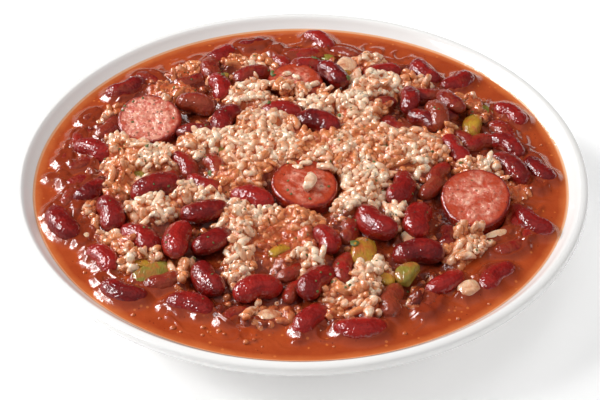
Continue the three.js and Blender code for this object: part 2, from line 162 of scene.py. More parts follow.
# Where rice shows: (x, y, half width, half depth, plenty, how far the sauce has coloured it).
RICE_ZONES = [
    (0, 5, 32, 12, 1, 0.25), (-18, 9, 14, 8, 1, 0.15), (8, 12, 18, 6, 0.9, 0.55),
    (36, 12, 22, 13, 1, 0.3), (50, 5, 9, 9, 1, 0.15), (25, 36, 8, 17, 1, 0.08),
    (31, 58, 12, 7, 1, 0.05), (-14, 48, 16, 9, 1, 0.1), (8, 41, 6, 6, 1, 0.05),
    (-14, 24, 13, 9, 1, 0.2), (-33, 14, 14, 6, 1, 0.15), (-42, 8, 9, 6, 0.9, 0.2),
    (25, -11, 9, 13, 1, 0.05), (20, -27, 8, 6, 0.9, 0.05), (-25, -11, 9, 9, 0.9, 0.4),
    (-20, -28, 9, 5, 0.8, 0.1), (-25, -40, 6, 13, 1, 0.12), (-6, -36, 13, 5, 0.85, 0.35),
    (-6, -44, 14, 6, 0.5, 0.8), (-23, -59, 5, 8, 0.9, 0.15), (2, -60, 6, 8, 0.95, 0.1),
    (26, -70, 8, 13, 1, 0.12), (15, -74, 9, 6, 0.7, 0.4), (-13, -84, 8, 4, 0.5, 0.5),
    (66, -47, 10, 11, 0.95, 0.3), (-62, 3, 15, 10, 1, 0.15), (-72, 15, 7, 9, 0.95, 0.2),
    (-58, -27, 9, 7, 1, 0.15), (-42, -17, 8, 7, 0.95, 0.15), (-72, -9, 5, 8, 0.8, 0.25),
    (-83, 44, 8, 9, 0.7, 0.5), (-55, 55, 9, 6, 0.7, 0.65), (-22, 80, 11, 6, 0.9, 0.45),
    (29, 80, 6, 5, 0.9, 0.1), (47, 64, 8, 6, 0.8, 0.35), (76, 50, 9, 10, 0.85, 0.55),
    (38, -30, 4, 8, 0.95, 0.05), (73, 0, 10, 4, 0.95, 0.1), (90, -13, 8, 7, 0.6, 0.6),
    (73, -38, 9, 3, 0.6, 0.2), (-71, -42, 5, 7, 0.8, 0.35), (-62, -55, 11, 8, 0.95, 0.15),
    (-85, -28, 5, 12, 0.8, 0.5), (-50, 73, 8, 6, 0.55, 0.6), (-10, 74, 5, 4, 0.5, 0.5),
    (62, 23, 5, 5, 0.7, 0.3), (-48, -59, 6, 7, 0.8, 0.2), (15, -84, 5, 3, 0.4, 0.5),
    (-35, -22, 5, 4, 0.7, 0.2), (-3, 60, 6, 4, 0.5, 0.5), (20, 68, 5, 8, 0.6, 0.7),
    (70, 60, 6, 5, 0.7, 0.45), (88, 33, 5, 6, 0.35, 0.8), (60, -36, 4, 5, 0.5, 0.4),
    (-5, -53, 12, 9, 0.35, 0.9), (82, -4, 6, 5, 0.6, 0.4), (-68, -11, 5, 6, 0.7, 0.3),
]

# Plump grains that lie alone on a slice: (x, y, heading in radians, scale).
GRAINS_ON_SLICE = [
    (3.5, -17.6, 1.4, 1.6), (9.5, -8.2, 2.75, 1.05), (2, -6.2, 0.2, 0.8), (-6, 62, 0.4, 0.7),
    (3, 54, 1.8, 1.0), (6, 56, 0.6, 0.8), (-2, 60, 2.4, 0.7),
]
# Rice heaped over the edge of a slice: (x, y, reach, grains).
HEAPS_ON_SLICE = [
    (-12, 51, 4.5, 10), (-6, 48, 5, 14), (1, 46.5, 4.5, 12), (8, 48, 4, 8), (-1, 52, 5, 5),
    (-4, -4.5, 3.5, 5), (3, -3.5, 3, 5), (11, -7, 3, 3), (-57, 42, 3, 3),
]

# Bubbles in the gravy: (x, y, diameter).
BUBBLES = [
    (-62, -82, 1.6), (-47, -89, 2.2), (-44, -91, 1.2), (-36, -89, 1.8), (-36, -93, 1.4),
    (-34, -91, 1.0), (-30, -91, 2.0), (-28, -93, 1.2), (-20, -97, 2.2), (-17, -96, 1.2),
    (38, -92, 1.8), (58, -84, 1.6), (70, -76, 1.2), (-82, -58, 1.4), (-14, -99, 1.0),
    (-52, -84, 1.2), (12, -99, 1.0), (-99, -6, 1.2), (-97, 18, 1.4), (99, 22, 1.2),
]

# Larger parsley flecks: (x, y, size). The others are strewn by chance.
PARSLEY = [
    (20, -52, 4.0), (-12, 63, 3.2), (-13, 57, 2.6), (-9, 59, 2.2), (-33, 60, 2.4), (-13, 37, 2.6),
    (20, 56, 2.4), (-26, 46, 2.0), (34, 8, 2.6), (-36, -6, 2.4), (42, -57, 2.6), (6, 73, 2.8),
    (-1, 75, 2.2), (16, 32, 2.0), (64, 0, 2.2), (-10, 20, 2.2), (24, 30, 1.8), (-62, 8, 1.8),
]

# How the names start of the pieces that stand in the mound and the gravy.
TOPPINGS = ("kidney_bean", "sunk_bean", "sausage_slice", "diced", "soft_bits")

# ---- Camera and lights, in metres, degrees and watts ----

LENS, SENSOR_WIDTH = 114.85, 36
CAMERA_ELEVATION, CAMERA_DISTANCE = 38.79, 0.76
CAMERA_TARGET = (-0.00028, -0.01468, 0.03)
LIGHT_TARGET = (0, 0, 0.03)

# Softboxes: (name, place, width, height, power, whether glossy things mirror it).
SOFTBOXES = [
    ("low_window", (-1.45, 1.0, 0.98), 0.46, 0.38, 9.5, True),
    ("back_window", (-1.45, 0.44, 1.36), 0.45, 0.43, 12.0, True),
    ("front_window", (-1.45, -0.40, 1.36), 0.45, 0.43, 12.0, True),
    ("left_sheet", (-1.75, 0.35, 1.2), 2.0, 1.4, 20.0, True),
    ("top_light", (0.35, 0.1, 2.0), 1.3, 1.3, 12.0, False),
    ("side_fill", (1.7, -0.2, 1.1), 1.2, 1.0, 10.0, False),
]


def srgb(red, green, blue):
    """A colour given in 0-255 sRGB numbers, as the linear numbers that materials take."""
    shares = (c / 255 for c in (red, green, blue))
    return tuple(s / 12.92 if s <= 0.04045 else ((s + 0.055) / 1.055) ** 2.4 for s in shares)


def paint(red, green, blue):
    """A colour given in 0-255 sRGB numbers, as the four numbers that a colour socket takes."""
    return (*srgb(red, green, blue), 1.0)


class BowlSizes(bpy.types.PropertyGroup):
    """Sizes of the bowl and the food in it"""

    radius: FloatProperty(
        name="Bowl radius", description="Radius over the lip",
        default=(BOWL_BOX[1].x - BOWL_BOX[0].x) / 2, unit="LENGTH")
    gravy_level: FloatProperty(
        name="Gravy level", description="Height of the gravy above the table",
        default=0.0295, unit="LENGTH")
    mound_radius: FloatProperty(
        name="Mound radius", description="Mean radius of the mound of rice",
        default=0.088, unit="LENGTH")
    mound_crown: FloatProperty(
        name="Mound crown", description="Height of the mound above the gravy",
        default=0.0075, unit="LENGTH")
    slice_thickness: FloatProperty(
        name="Slice thickness", description="Thickness of a slice of sausage",
        default=0.0084, unit="LENGTH")
    grain_length: FloatProperty(
        name="Grain length", description="Mean length of a cooked grain of rice",
        default=0.0053, unit="LENGTH")
    grain_width: FloatProperty(
        name="Grain width", description="Mean width of a cooked grain of rice",
        default=0.0033, unit="LENGTH")
    grain_tries: IntProperty(
        name="Grains dropped", description="How many grains of rice are dropped on the mound",
        default=20000, min=0, max=60000)


class FoodColours(bpy.types.PropertyGroup):
    """Main colours of the bowl and the food"""

    glaze: FloatVectorProperty(
        name="Glaze", description="Colour of the bowl", subtype="COLOR",
        default=srgb(236, 235, 234))
    gravy: FloatVectorProperty(
        name="Gravy", description="Colour of deep gravy", subtype="COLOR",
        default=srgb(152, 54, 20))
    thin_gravy: FloatVectorProperty(
        name="Thin gravy", description="Colour of the gravy's thin edge", subtype="COLOR",
        default=srgb(200, 104, 52))
    bean: FloatVectorProperty(
        name="Bean", description="Colour of a kidney bean's skin", subtype="COLOR",
        default=srgb(118, 9, 12))
    rice: FloatVectorProperty(
        name="Rice", description="Colour of plain cooked rice", subtype="COLOR",
        default=srgb(240, 197, 160))
    stained_rice: FloatVectorProperty(
        name="Stained rice", description="Colour of rice soaked in gravy", subtype="COLOR",
        default=srgb(218, 134, 82))
    sausage: FloatVectorProperty(
        name="Sausage", description="Colour of the sausage's cut face", subtype="COLOR",
        default=srgb(206, 98, 80))
    casing: FloatVectorProperty(
        name="Casing", description="Colour of the sausage's skin", subtype="COLOR",
        default=srgb(120, 20, 12))
    pepper: FloatVectorProperty(
        name="Pepper", description="Colour of the diced pepper", subtype="COLOR",
        default=srgb(176, 138, 40))
    celery: FloatVectorProperty(
        name="Celery", description="Colour of the diced celery", subtype="COLOR",
        default=srgb(142, 132, 52))
    onion: FloatVectorProperty(
        name="Onion", description="Colour of the soft onion", subtype="COLOR",
        default=srgb(242, 206, 172))
    parsley: FloatVectorProperty(
        name="Parsley", description="Colour of the chopped parsley", subtype="COLOR",
        default=srgb(74, 86, 40))


def sizes():
    """The sizes of the bowl, in millimetres."""
    group = bpy.context.scene.bowl_sizes
    keys = ("radius", "gravy_level", "mound_radius", "mound_crown", "slice_thickness",
            "grain_length", "grain_width")
    return {key: getattr(group, key) / MM for key in keys}


def colour(name):
    """A colour of the panel, with an alpha of 1."""
    return (*getattr(bpy.context.scene.food_colours, name), 1.0)


# ---- Shape of the mound, the wall and the gravy ----


def mound_edge(angle):
    """Radius of the mound's edge in the direction of an angle."""
    lumps = sum(size * np.sin(turns * angle + phase) for size, turns, phase in MOUND_LUMPS)
    return sizes()["mound_radius"] + lumps


def food_height(x, y):
    """Height of the plain mound, or of the gravy outside it."""
    size = sizes()
    share = np.hypot(x, y) / mound_edge(np.arctan2(y, x))
    return size["gravy_level"] + size["mound_crown"] * np.clip(1 - share * share, 0, None)


def wall_height(radius):
    """Height of the bowl's inner wall at a radius."""
    return np.interp(radius, *zip(*INNER_WALL))


def rice_shares(x, y):
    """How much rice shows at a place, and how far the sauce has coloured it."""
    plenty = np.zeros(np.shape(x))
    stain = np.full(np.shape(x), 0.9)
    for mid_x, mid_y, half_x, half_y, most, sauced in RICE_ZONES:
        reach = ((x - mid_x) / half_x) ** 2 + ((y - mid_y) / half_y) ** 2
        here = most * np.clip(1.7 - reach, 0, 1)
        stain = np.where(here > plenty, sauced, stain)
        plenty = np.maximum(plenty, here)
    return plenty, stain


# ---- Meshes ----


def finish_piece(name, source, material, nodes):
    """Make a bmesh, a mesh or a list of meshes a smooth piece that rides on the bowl."""
    if isinstance(source, list):
        source = joined(name, source)
    mesh = as_mesh(source, name) if isinstance(source, bmesh.types.BMesh) else source
    mesh.name = name
    points = points_of(mesh)
    points[:, 2] = np.minimum(points[:, 2], TOP)
    move_points(mesh, points * MM)
    mesh.shade_smooth()
    mesh.materials.append(material)
    piece = bpy.data.objects.new(name, mesh)
    bpy.context.scene.collection.objects.link(piece)
    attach(piece, "root")
    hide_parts(*nodes)
    return piece


def set_attribute(mesh, name, values):
    """Store one number for each vertex of a mesh."""
    layer = mesh.attributes.new(name, "FLOAT", "POINT")
    layer.data.foreach_set("value", np.asarray(values, dtype=np.float32))


def points_of(mesh):
    """The vertices of a mesh as an array."""
    flat = np.empty(3 * len(mesh.vertices), dtype=np.float64)
    mesh.vertices.foreach_get("co", flat)
    return flat.reshape(-1, 3)


def move_points(mesh, points):
    mesh.vertices.foreach_set("co", np.asarray(points, dtype=np.float32).ravel())
    mesh.update()


def seat(mesh, node):
    """Move a mesh so that the middle of its box is the middle of a node's box."""
    points = points_of(mesh)
    low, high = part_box(node)
    middle = (points.min(axis=0) + points.max(axis=0)) / 2
    move_points(mesh, points + (np.array(low / MM) + np.array(high / MM)) / 2 - middle)


def set_down(mesh, x, y, rise):
    """Move a mesh to a place on the food, at a rise over the food's plain height."""
    move_points(mesh, points_of(mesh) + np.array([x, y, food_height(x, y) + rise]))


def smooth_line(points, steps):
    """A smooth line through points, which keeps a corner where a point is repeated."""
    line = []
    for i in range(1, len(points) - 2):
        before, start, end, after = (Vector(p) for p in points[i - 1:i + 3])
        if start == end:
            continue
        for step in range(steps):
            t = step / steps
            line.append(0.5 * (
                2 * start + (end - before) * t
                + (2 * before - 5 * start + 4 * end - after) * t ** 2
                + (3 * start - before - 3 * end + after) * t ** 3))
    line.append(Vector(points[-2]))
    return line


def spun(section, steps):
    """A body turned a full round about Z from a line of (radius, height) points."""
    bm = bmesh.new()
    line = [bm.verts.new((radius, 0, height)) for radius, height in section]
    edges = [bm.edges.new(pair) for pair in zip(line, line[1:])]
    bmesh.ops.spin(
        bm, geom=line + edges, cent=(0, 0, 0), axis=(0, 0, 1), angle=2 * math.pi, steps=steps,
        use_merge=True, use_duplicate=False)
    bmesh.ops.remove_doubles(bm, verts=bm.verts, dist=0.001)
    bmesh.ops.recalc_face_normals(bm, faces=bm.faces)
    return bm


def as_mesh(bm, name):
    mesh = bpy.data.meshes.new(name)
    bm.to_mesh(mesh)
    bm.free()
    return mesh


def ball_mesh(name, around, along):
    """A unit ball with its poles on X and its seam's UVs unwrapped round and along."""
    bm = bmesh.new()
    bm.loops.layers.uv.new("UVMap")
    bmesh.ops.create_uvsphere(
        bm, u_segments=around, v_segments=along, radius=1, calc_uvs=True,
        matrix=Matrix.Rotation(math.pi / 2, 4, "Y"))
    bmesh.ops.recalc_face_normals(bm, faces=bm.faces)
    return as_mesh(bm, name)


def noise_at(points, size, offset=0.0):
    """Soft noise from -1 to 1 at each point, for lumps of a size in millimetres."""
    shift = Vector((offset, offset * 0.7, -offset))
    return np.array([noise.noise(Vector(p) / size + shift) for p in points])


def joined(name, meshes):
    """One mesh from several, with their attributes and UVs kept."""
    bm = bmesh.new()
    bm.loops.layers.uv.new("UVMap")
    for mesh in meshes:
        bm.from_mesh(mesh)
        bpy.data.meshes.remove(mesh)
    return as_mesh(bm, name)


class Draws:
    """The same run of chance numbers that set how the frame's beans lie."""

    def __init__(self, seed):
        self.state = seed

    def one(self):
        self.state = (self.state * 1664525 + 1013904223) % 4294967296
        return self.state / 4294967296

    def between(self, low, high):
        return low + (high - low) * self.one()


# ---- Kidney beans ----


def bean_points(ball, length, bumps):
    """The points of a kidney bean along X, with a bowed back, a notched belly and soft dents."""
    blunt, width, thick, bend = 0.86, 0.56, 0.46, 0.11
    notch_reach, notch_depth = 0.3, 1.25
    large_dents, small_dents, shrink = 0.36, 0.18, 0.97
    x, y, z = ball.T
    girth = np.maximum(np.hypot(y, z), 1e-6) ** (blunt - 1)
    along = np.sign(x) * np.abs(x) ** blunt
    belly = np.clip(-y, 0, None) * np.exp(-((along / notch_reach) ** 2))
    out_x = along * length / 2
    bow = length * bend * (0.5 - 2 * (out_x / length) ** 2)
    out_y = y * girth * length * width / 2 + bow + notch_depth * belly
    out_z = z * girth * length * thick / 2
    points = np.stack([out_x, out_y, out_z], axis=1)
    dents = large_dents * noise_at(points, 5.0, bumps)
    dents += small_dents * noise_at(points, 2.2, bumps)
    return points * shrink + ball * dents[:, None]


def placed_bean(name, ball, length, turn, coat, shade):
    """A bean mesh that is turned by (roll, pitch, heading) in degrees, about its own middle."""
    eye_length, eye_width, apart = 2.0, 0.8, 37
    mesh = ball.copy()
    mesh.name = name
    points = bean_points(points_of(ball), length, shade * apart)
    eye = np.exp(-((points[:, 0] / eye_length) ** 2 + (points[:, 2] / eye_width) ** 2))
    set_attribute(mesh, "eye", eye * (points[:, 1] < 0))
    rotation = np.array(Euler([math.radians(a) for a in turn], "XYZ").to_matrix())
    points = points @ rotation.T
    move_points(mesh, points)
    set_attribute(mesh, "coat", np.full(len(points), coat))
    set_attribute(mesh, "shade", np.full(len(points), shade))
    return mesh


def bean_turn(heading, draws):
    """The same roll, pitch and heading that the frame's bean has."""
    most_roll, most_pitch = 28, 6
    turn = heading + (180 if draws.one() < 0.5 else 0)
    roll = draws.between(-most_roll, most_roll)
    pitch = draws.between(-most_pitch, most_pitch)
    return roll, pitch, turn


# ---- Material parts ----


class Tree:
    """Adds nodes to a material or node group, and joins them."""

    def __init__(self, tree):
        self.tree = tree

    def add(self, kind, inputs=None, **settings):
        node = self.tree.nodes.new(kind)
        for key, value in settings.items():
            setattr(node, key, value)
        for key, value in (inputs or {}).items():
            self.feed(node.inputs[key], value)
        return node

    def feed(self, socket, value):
        if isinstance(value, bpy.types.NodeSocket):
            self.tree.links.new(value, socket)
        else:
            socket.default_value = value

    def mix(self, share, low, high):
        """A colour between two others. The node has sockets of each kind, so these go by number."""
        node = self.add("ShaderNodeMix", data_type="RGBA")
        for index, value in ((0, share), (6, low), (7, high)):
            self.feed(node.inputs[index], value)
        return node.outputs[2]

    def math(self, operation, first, second, clamp=False):
        node = self.add("ShaderNodeMath", {0: first, 1: second}, operation=operation)
        node.use_clamp = clamp
        return node.outputs[0]

    def times(self, first, second):
        return self.math("MULTIPLY", first, second)

    def plus(self, first, second):
        return self.math("ADD", first, second)

    def spread(self, value, low, high, start=0.0, end=1.0):
        """Map a value from one range to another, and keep it there."""
        node = self.add("ShaderNodeMapRange", {
            "Value": value, "From Min": low, "From Max": high, "To Min": start, "To Max": end})
        return node.outputs[0]

    def noise(self, where, size, detail=3.0):
        """Soft noise with lumps of a size in millimetres."""
        node = self.add("ShaderNodeTexNoise", {
            "Vector": where, "Scale": 1 / (size * MM), "Detail": detail, "Roughness": 0.55})
        return node.outputs["Fac"]

    def attribute(self, name):
        return self.add("ShaderNodeAttribute", attribute_name=name).outputs["Fac"]

    def effect(self, name, **inputs):
        """A shared node group, built once, with this material's own values."""
        known = bpy.data.node_groups.get(name)
        node = self.add("ShaderNodeGroup", node_tree=known or EFFECTS[name](name))
        for key, value in inputs.items():
            self.feed(node.inputs[key], value)
        return node.outputs

    def sprinkle(self, tone, where, tint, strength, **net):
        """Specks of a tint over a tone."""
        specks = self.effect("specks", Vector=where, **net)
        return self.mix(self.times(specks["Mask"], strength), tone, tint)


def new_group(name, inputs, outputs):
    """An empty node group with named sockets, its tree, and the sockets inside it."""
    group = bpy.data.node_groups.new(name, "ShaderNodeTree")
    for way, sockets in (("INPUT", inputs), ("OUTPUT", outputs)):
        for socket, kind in sockets.items():
            group.interface.new_socket(name=socket, in_out=way, socket_type=f"NodeSocket{kind}")
    tree = Tree(group)
    return group, tree, tree.add("NodeGroupInput").outputs, tree.add("NodeGroupOutput").inputs


def mottle_group(name):
    """Two colours mixed in soft patches."""
    group, tree, given, out = new_group(
        name, {"Vector": "Vector", "Scale": "Float", "Low": "Color", "High": "Color",
               "Edge": "Float"}, {"Colour": "Color", "Mask": "Float"})
    field = tree.add("ShaderNodeTexNoise", {
        "Vector": given["Vector"], "Scale": given["Scale"], "Detail": 4.0, "Roughness": 0.6})
    low = tree.math("SUBTRACT", 0.5, given["Edge"])
    high = tree.plus(0.5, given["Edge"])
    mask = tree.spread(field.outputs["Fac"], low, high)
    tree.feed(out["Colour"], tree.mix(mask, given["Low"], given["High"]))
    tree.feed(out["Mask"], mask)
    return group


def specks_group(name):
    """A mask of small round specks in a share of the cells of a net."""
    group, tree, given, out = new_group(
        name, {"Vector": "Vector", "Scale": "Float", "Size": "Float", "Share": "Float"},
        {"Mask": "Float"})
    cells = tree.add("ShaderNodeTexVoronoi", {"Vector": given["Vector"], "Scale": given["Scale"]})
    chance = tree.add("ShaderNodeSeparateColor", {"Color": cells.outputs["Color"]}).outputs[0]
    dot = tree.spread(cells.outputs["Distance"], given["Size"], tree.times(given["Size"], 0.6))
    chosen = tree.math("LESS_THAN", chance, given["Share"])
    tree.feed(out["Mask"], tree.times(dot, chosen))
    return group


def film_group(name):
    """A clinging film of sauce: how thickly it lies, broken up in runs and gaps."""
    soft = 0.22
    group, tree, given, out = new_group(
        name, {"Vector": "Vector", "Scale": "Float", "Amount": "Float", "Colour": "Color",
               "Sauce": "Color"}, {"Colour": "Color", "Mask": "Float"})
    field = tree.add("ShaderNodeTexNoise", {
        "Vector": given["Vector"], "Scale": given["Scale"], "Detail": 5.0, "Roughness": 0.62,
        "Distortion": 0.6})
    edge = tree.math("SUBTRACT", 1.0, given["Amount"])
    low = tree.math("SUBTRACT", edge, soft)
    high = tree.plus(edge, soft)
    mask = tree.spread(tree.spread(field.outputs["Fac"], 0.25, 0.75), low, high)
    tree.feed(out["Colour"], tree.mix(mask, given["Colour"], given["Sauce"]))
    tree.feed(out["Mask"], mask)
    return group


EFFECTS = {"mottle": mottle_group, "specks": specks_group, "sauce film": film_group}


def new_material(name):
    """A material with an empty tree but for its shader, and the object's own coordinates."""
    material = bpy.data.materials.new(name)
    material.use_nodes = True
    tree = Tree(material.node_tree)
    shader = material.node_tree.nodes["Principled BSDF"]
    where = tree.add("ShaderNodeTexCoord").outputs["Object"]
    return material, tree, shader, where


def relief(tree, shader, height, depth, coat=False):
    """Fine relief of a depth in millimetres, in the coat too where there is one to shape."""
    bump = tree.add("ShaderNodeBump", {"Height": height, "Distance": depth * MM})
    tree.feed(shader.inputs["Normal"], bump.outputs["Normal"])
    if coat:
        tree.feed(shader.inputs["Coat Normal"], bump.outputs["Normal"])


def clear_coat(shader, weight, roughness, ior=1.5, specular=0.5):
    """Give a finish its clear coat, and set the shine of what lies under it."""
    shader.inputs["Coat Weight"].default_value = weight
    shader.inputs["Coat Roughness"].default_value = roughness
    shader.inputs["Coat IOR"].default_value = ior
    shader.inputs["Specular IOR Level"].default_value = specular


def let_light_in(shader, weight, radius, depth):
    """Let light sink into a soft piece, to a depth in millimetres."""
    shader.inputs["Subsurface Weight"].default_value = weight
    shader.inputs["Subsurface Radius"].default_value = radius
    shader.inputs["Subsurface Scale"].default_value = depth * MM


# ---- Materials ----


def glaze_material():
    """White glaze that stops short of the foot, and is faintly stained above the gravy."""
    material, tree, shader, where = new_material("white_glaze")
    white = colour("glaze")
    warm = (white[0] * 0.985, white[1] * 0.975, white[2] * 0.955, 1)
    tone = tree.effect("mottle", Vector=where, Scale=30.0, Low=white, High=warm, Edge=0.35)
    height = tree.add("ShaderNodeSeparateXYZ", {"Vector": where}).outputs["Z"]
    unglazed = tree.spread(height, 0.6 * MM, 0.3 * MM)
    base = tree.mix(unglazed, tone["Colour"], paint(222, 214, 202))
    flat = tree.add("ShaderNodeVectorMath", {0: where, 1: (1, 1, 0)}, operation="MULTIPLY")
    radius = tree.add("ShaderNodeVectorMath", {0: flat.outputs["Vector"]}, operation="LENGTH")
    level = sizes()["gravy_level"] * MM
    above = tree.spread(height, level + 0.9 * MM, level + 0.2 * MM)
    inside = tree.spread(radius.outputs["Value"], 109.5 * MM, 108.5 * MM)
    smear = tree.spread(tree.noise(where, 7.0, 4.0), 0.42, 0.75)
    stain = tree.times(tree.times(above, inside), smear)
    base = tree.mix(tree.times(stain, 0.05), base, paint(226, 160, 112))
    tree.feed(shader.inputs["Base Color"], base)
    gloss = tree.spread(tree.noise(where, 24.0), 0.3, 0.7, 0.14, 0.2)
    tree.feed(shader.inputs["Roughness"], tree.mix(unglazed, gloss, (0.7, 0.7, 0.7, 1)))
    relief(tree, shader, tree.noise(where, 14.0, 2.0), 0.12)
    clear_coat(shader, 0.35, 0.06)
    return material


def gravy_material():
    """Gravy with cloudy parts, fat drops and spice, paler where thin, with painted shade near pieces."""
    material, tree, shader, where = new_material("gravy")
    tone = tree.effect("mottle", Vector=where, Scale=90.0, Low=colour("gravy"),
                       High=paint(176, 74, 32), Edge=0.3)["Colour"]
    tone = tree.sprinkle(tone, where, paint(222, 124, 58), 0.55, Scale=420.0, Size=0.3, Share=0.16)
    tone = tree.sprinkle(tone, where, paint(92, 26, 12), 0.6, Scale=700.0, Size=0.26, Share=0.1)
    depth = tree.attribute("depth")
    wavy = tree.plus(depth, tree.spread(tree.noise(where, 9.0), 0.3, 0.7, -0.5, 0.5))
    tone = tree.mix(tree.spread(wavy, 3.2, 0.8), tone, colour("thin_gravy"))
    tone = tree.mix(tree.spread(depth, 0.9, 0.1), tone, paint(236, 186, 146))
    # Painted shade: the gravy darkens near the pieces that stand in it, and over the humps too.
    near = tree.spread(tree.attribute("near"), 0.1, 1.0, 0, 0.55)
    tone = tree.mix(near, tone, paint(104, 26, 14))
    tree.feed(shader.inputs["Base Color"], tone)
    shader.inputs["Roughness"].default_value = 0.2
    fine = tree.times(tree.noise(where, 0.9), 0.3)
    relief(tree, shader, tree.plus(tree.noise(where, 4.0, 2.0), fine), 0.22, coat=True)
    clear_coat(shader, 1.0, 0.05, ior=1.6, specular=0.15)
    return material


def core_material():
    """The mound under the loose grains: dark sauce, partly painted shade, with rice pressed into it, and
    painted shade round the pieces.
    """
    material, tree, shader, where = new_material("sauced_mound")
    share = tree.attribute("rice")
    # The sauce is darker than the gravy ring: partly its own colour, partly painted shade in the gaps
    # between the toppings.
    tone = tree.effect("mottle", Vector=where, Scale=150.0, Low=paint(96, 30, 15),
                       High=paint(150, 58, 26), Edge=0.22)["Colour"]
    tone = tree.mix(tree.spread(share, 0.05, 0.45, 0.0, 0.85), tone, paint(184, 74, 32))
    tone = tree.sprinkle(tone, where, paint(214, 112, 60), 0.5, Scale=520.0, Size=0.34, Share=0.2)
    # Painted shade: the sauce darkens close round the pieces that stand in it.
    near = tree.spread(tree.attribute("near"), 0.1, 1.0, 0, 0.7)
    tone = tree.mix(near, tone, paint(88, 18, 12))
    knobs = tree.add("ShaderNodeTexVoronoi", {"Vector": where, "Scale": 1 / (2.6 * MM)})
    dome = tree.spread(knobs.outputs["Distance"], 0.75, 0.1)
    grain = tree.mix(dome, paint(192, 88, 46), colour("stained_rice"))
    clumps = tree.spread(tree.noise(where, 3.2, 4.0), 0.4, 0.6)
    part = tree.math("MULTIPLY", share, tree.spread(share, 0.3, 0.9), clamp=True)
    part = tree.math("MAXIMUM", part, tree.times(share, clumps), clamp=True)
    tree.feed(shader.inputs["Base Color"], tree.mix(part, tone, grain))
    tree.feed(shader.inputs["Roughness"], tree.spread(share, 0, 1, 0.16, 0.34))
    bumpy = tree.plus(tree.times(dome, part), tree.times(tree.noise(where, 2.2), 0.6))
    relief(tree, shader, bumpy, 0.7, coat=True)
    clear_coat(shader, 0.9, 0.06, ior=1.6, specular=0.2)
    return material


def rice_material(name, stain):
    """Cooked rice, creamy where dry and orange where the sauce has soaked in; the darkest orange low
    between the grains is partly painted shade.
    """
    material, tree, shader, where = new_material(name)
    soaked = tree.attribute("soaked")
    tone = tree.effect("mottle", Vector=where, Scale=150.0, Low=colour("rice"),
                       High=paint(253, 230, 205), Edge=0.26)["Colour"]
    amount = tree.plus(tree.spread(soaked, 0, 1, 0.34, 1.0), stain)
    coated = tree.effect("sauce film", Vector=where, Scale=140.0, Amount=amount, Colour=tone,
                         Sauce=colour("stained_rice"))
    # Darker orange where soaked most: partly sauce soaked in, partly painted shade low between the
    # grains.
    sauce_and_shade = tree.times(tree.spread(soaked, 0.55, 1.1), 0.9)
    tone = tree.mix(sauce_and_shade, coated["Colour"], paint(172, 64, 28))
    tone = tree.sprinkle(tone, where, paint(70, 44, 24), 0.8, Scale=520.0, Size=0.26, Share=0.09)
    tree.feed(shader.inputs["Base Color"], tone)
    tree.feed(shader.inputs["Roughness"], tree.spread(coated["Mask"], 0, 1, 0.42, 0.24))
    relief(tree, shader, tree.noise(where, 1.4, 1.5), 0.55, coat=True)
    let_light_in(shader, 0.45, (1.0, 0.75, 0.5), 0.7)
    clear_coat(shader, 1.0, 0.06, ior=1.6)
    return material


def bean_material():
    """Glossy dark red skin with lengthwise streaks, and a gravy film where it is coated."""
    material, tree, shader, where = new_material("bean_skin")
    red = colour("bean")
    dark = tuple(c * 0.3 for c in red[:3]) + (1,)
    light = paint(184, 34, 22)
    tone = tree.mix(0.5, tree.mix(tree.attribute("shade"), dark, light), red)
    uv = tree.add("ShaderNodeUVMap", uv_map="UVMap").outputs["UV"]
    stretched = tree.add("ShaderNodeMapping", {"Vector": uv, "Scale": (26, 3, 1)}).outputs[0]
    streak = tree.add("ShaderNodeTexNoise", {
        "Vector": stretched, "Scale": 1.0, "Detail": 1.5, "Roughness": 0.5}).outputs["Fac"]
    tone = tree.mix(tree.spread(streak, 0.35, 0.7, 0, 0.35), tone, dark)
    patchy = tree.spread(tree.noise(where, 5.0, 4.0), 0.42, 0.72, 0, 0.45)
    tone = tree.mix(patchy, tone, light)
    eye = tree.spread(tree.attribute("eye"), 0.3, 0.9, 0, 0.6)
    tone = tree.mix(eye, tone, paint(188, 120, 96))
    amount = tree.math("ADD", tree.attribute("coat"), tree.attribute("wet"), clamp=True)
    coated = tree.effect("sauce film", Vector=where, Scale=170.0, Amount=amount, Colour=tone,
                         Sauce=paint(142, 54, 30))
    tree.feed(shader.inputs["Base Color"], coated["Colour"])
    gloss = tree.spread(tree.noise(where, 2.4), 0.3, 0.7, 0.3, 0.45)
    tree.feed(shader.inputs["Roughness"], gloss)
    dimples = tree.times(tree.noise(where, 1.15, 0.8), 1.15)
    wrinkles = tree.times(streak, 0.4)
    height = tree.plus(tree.plus(tree.noise(where, 2.6, 0.5), dimples), wrinkles)
    relief(tree, shader, height, 0.36, coat=True)
    clear_coat(shader, 1.0, 0.04, ior=1.65, specular=0.12)
    return material


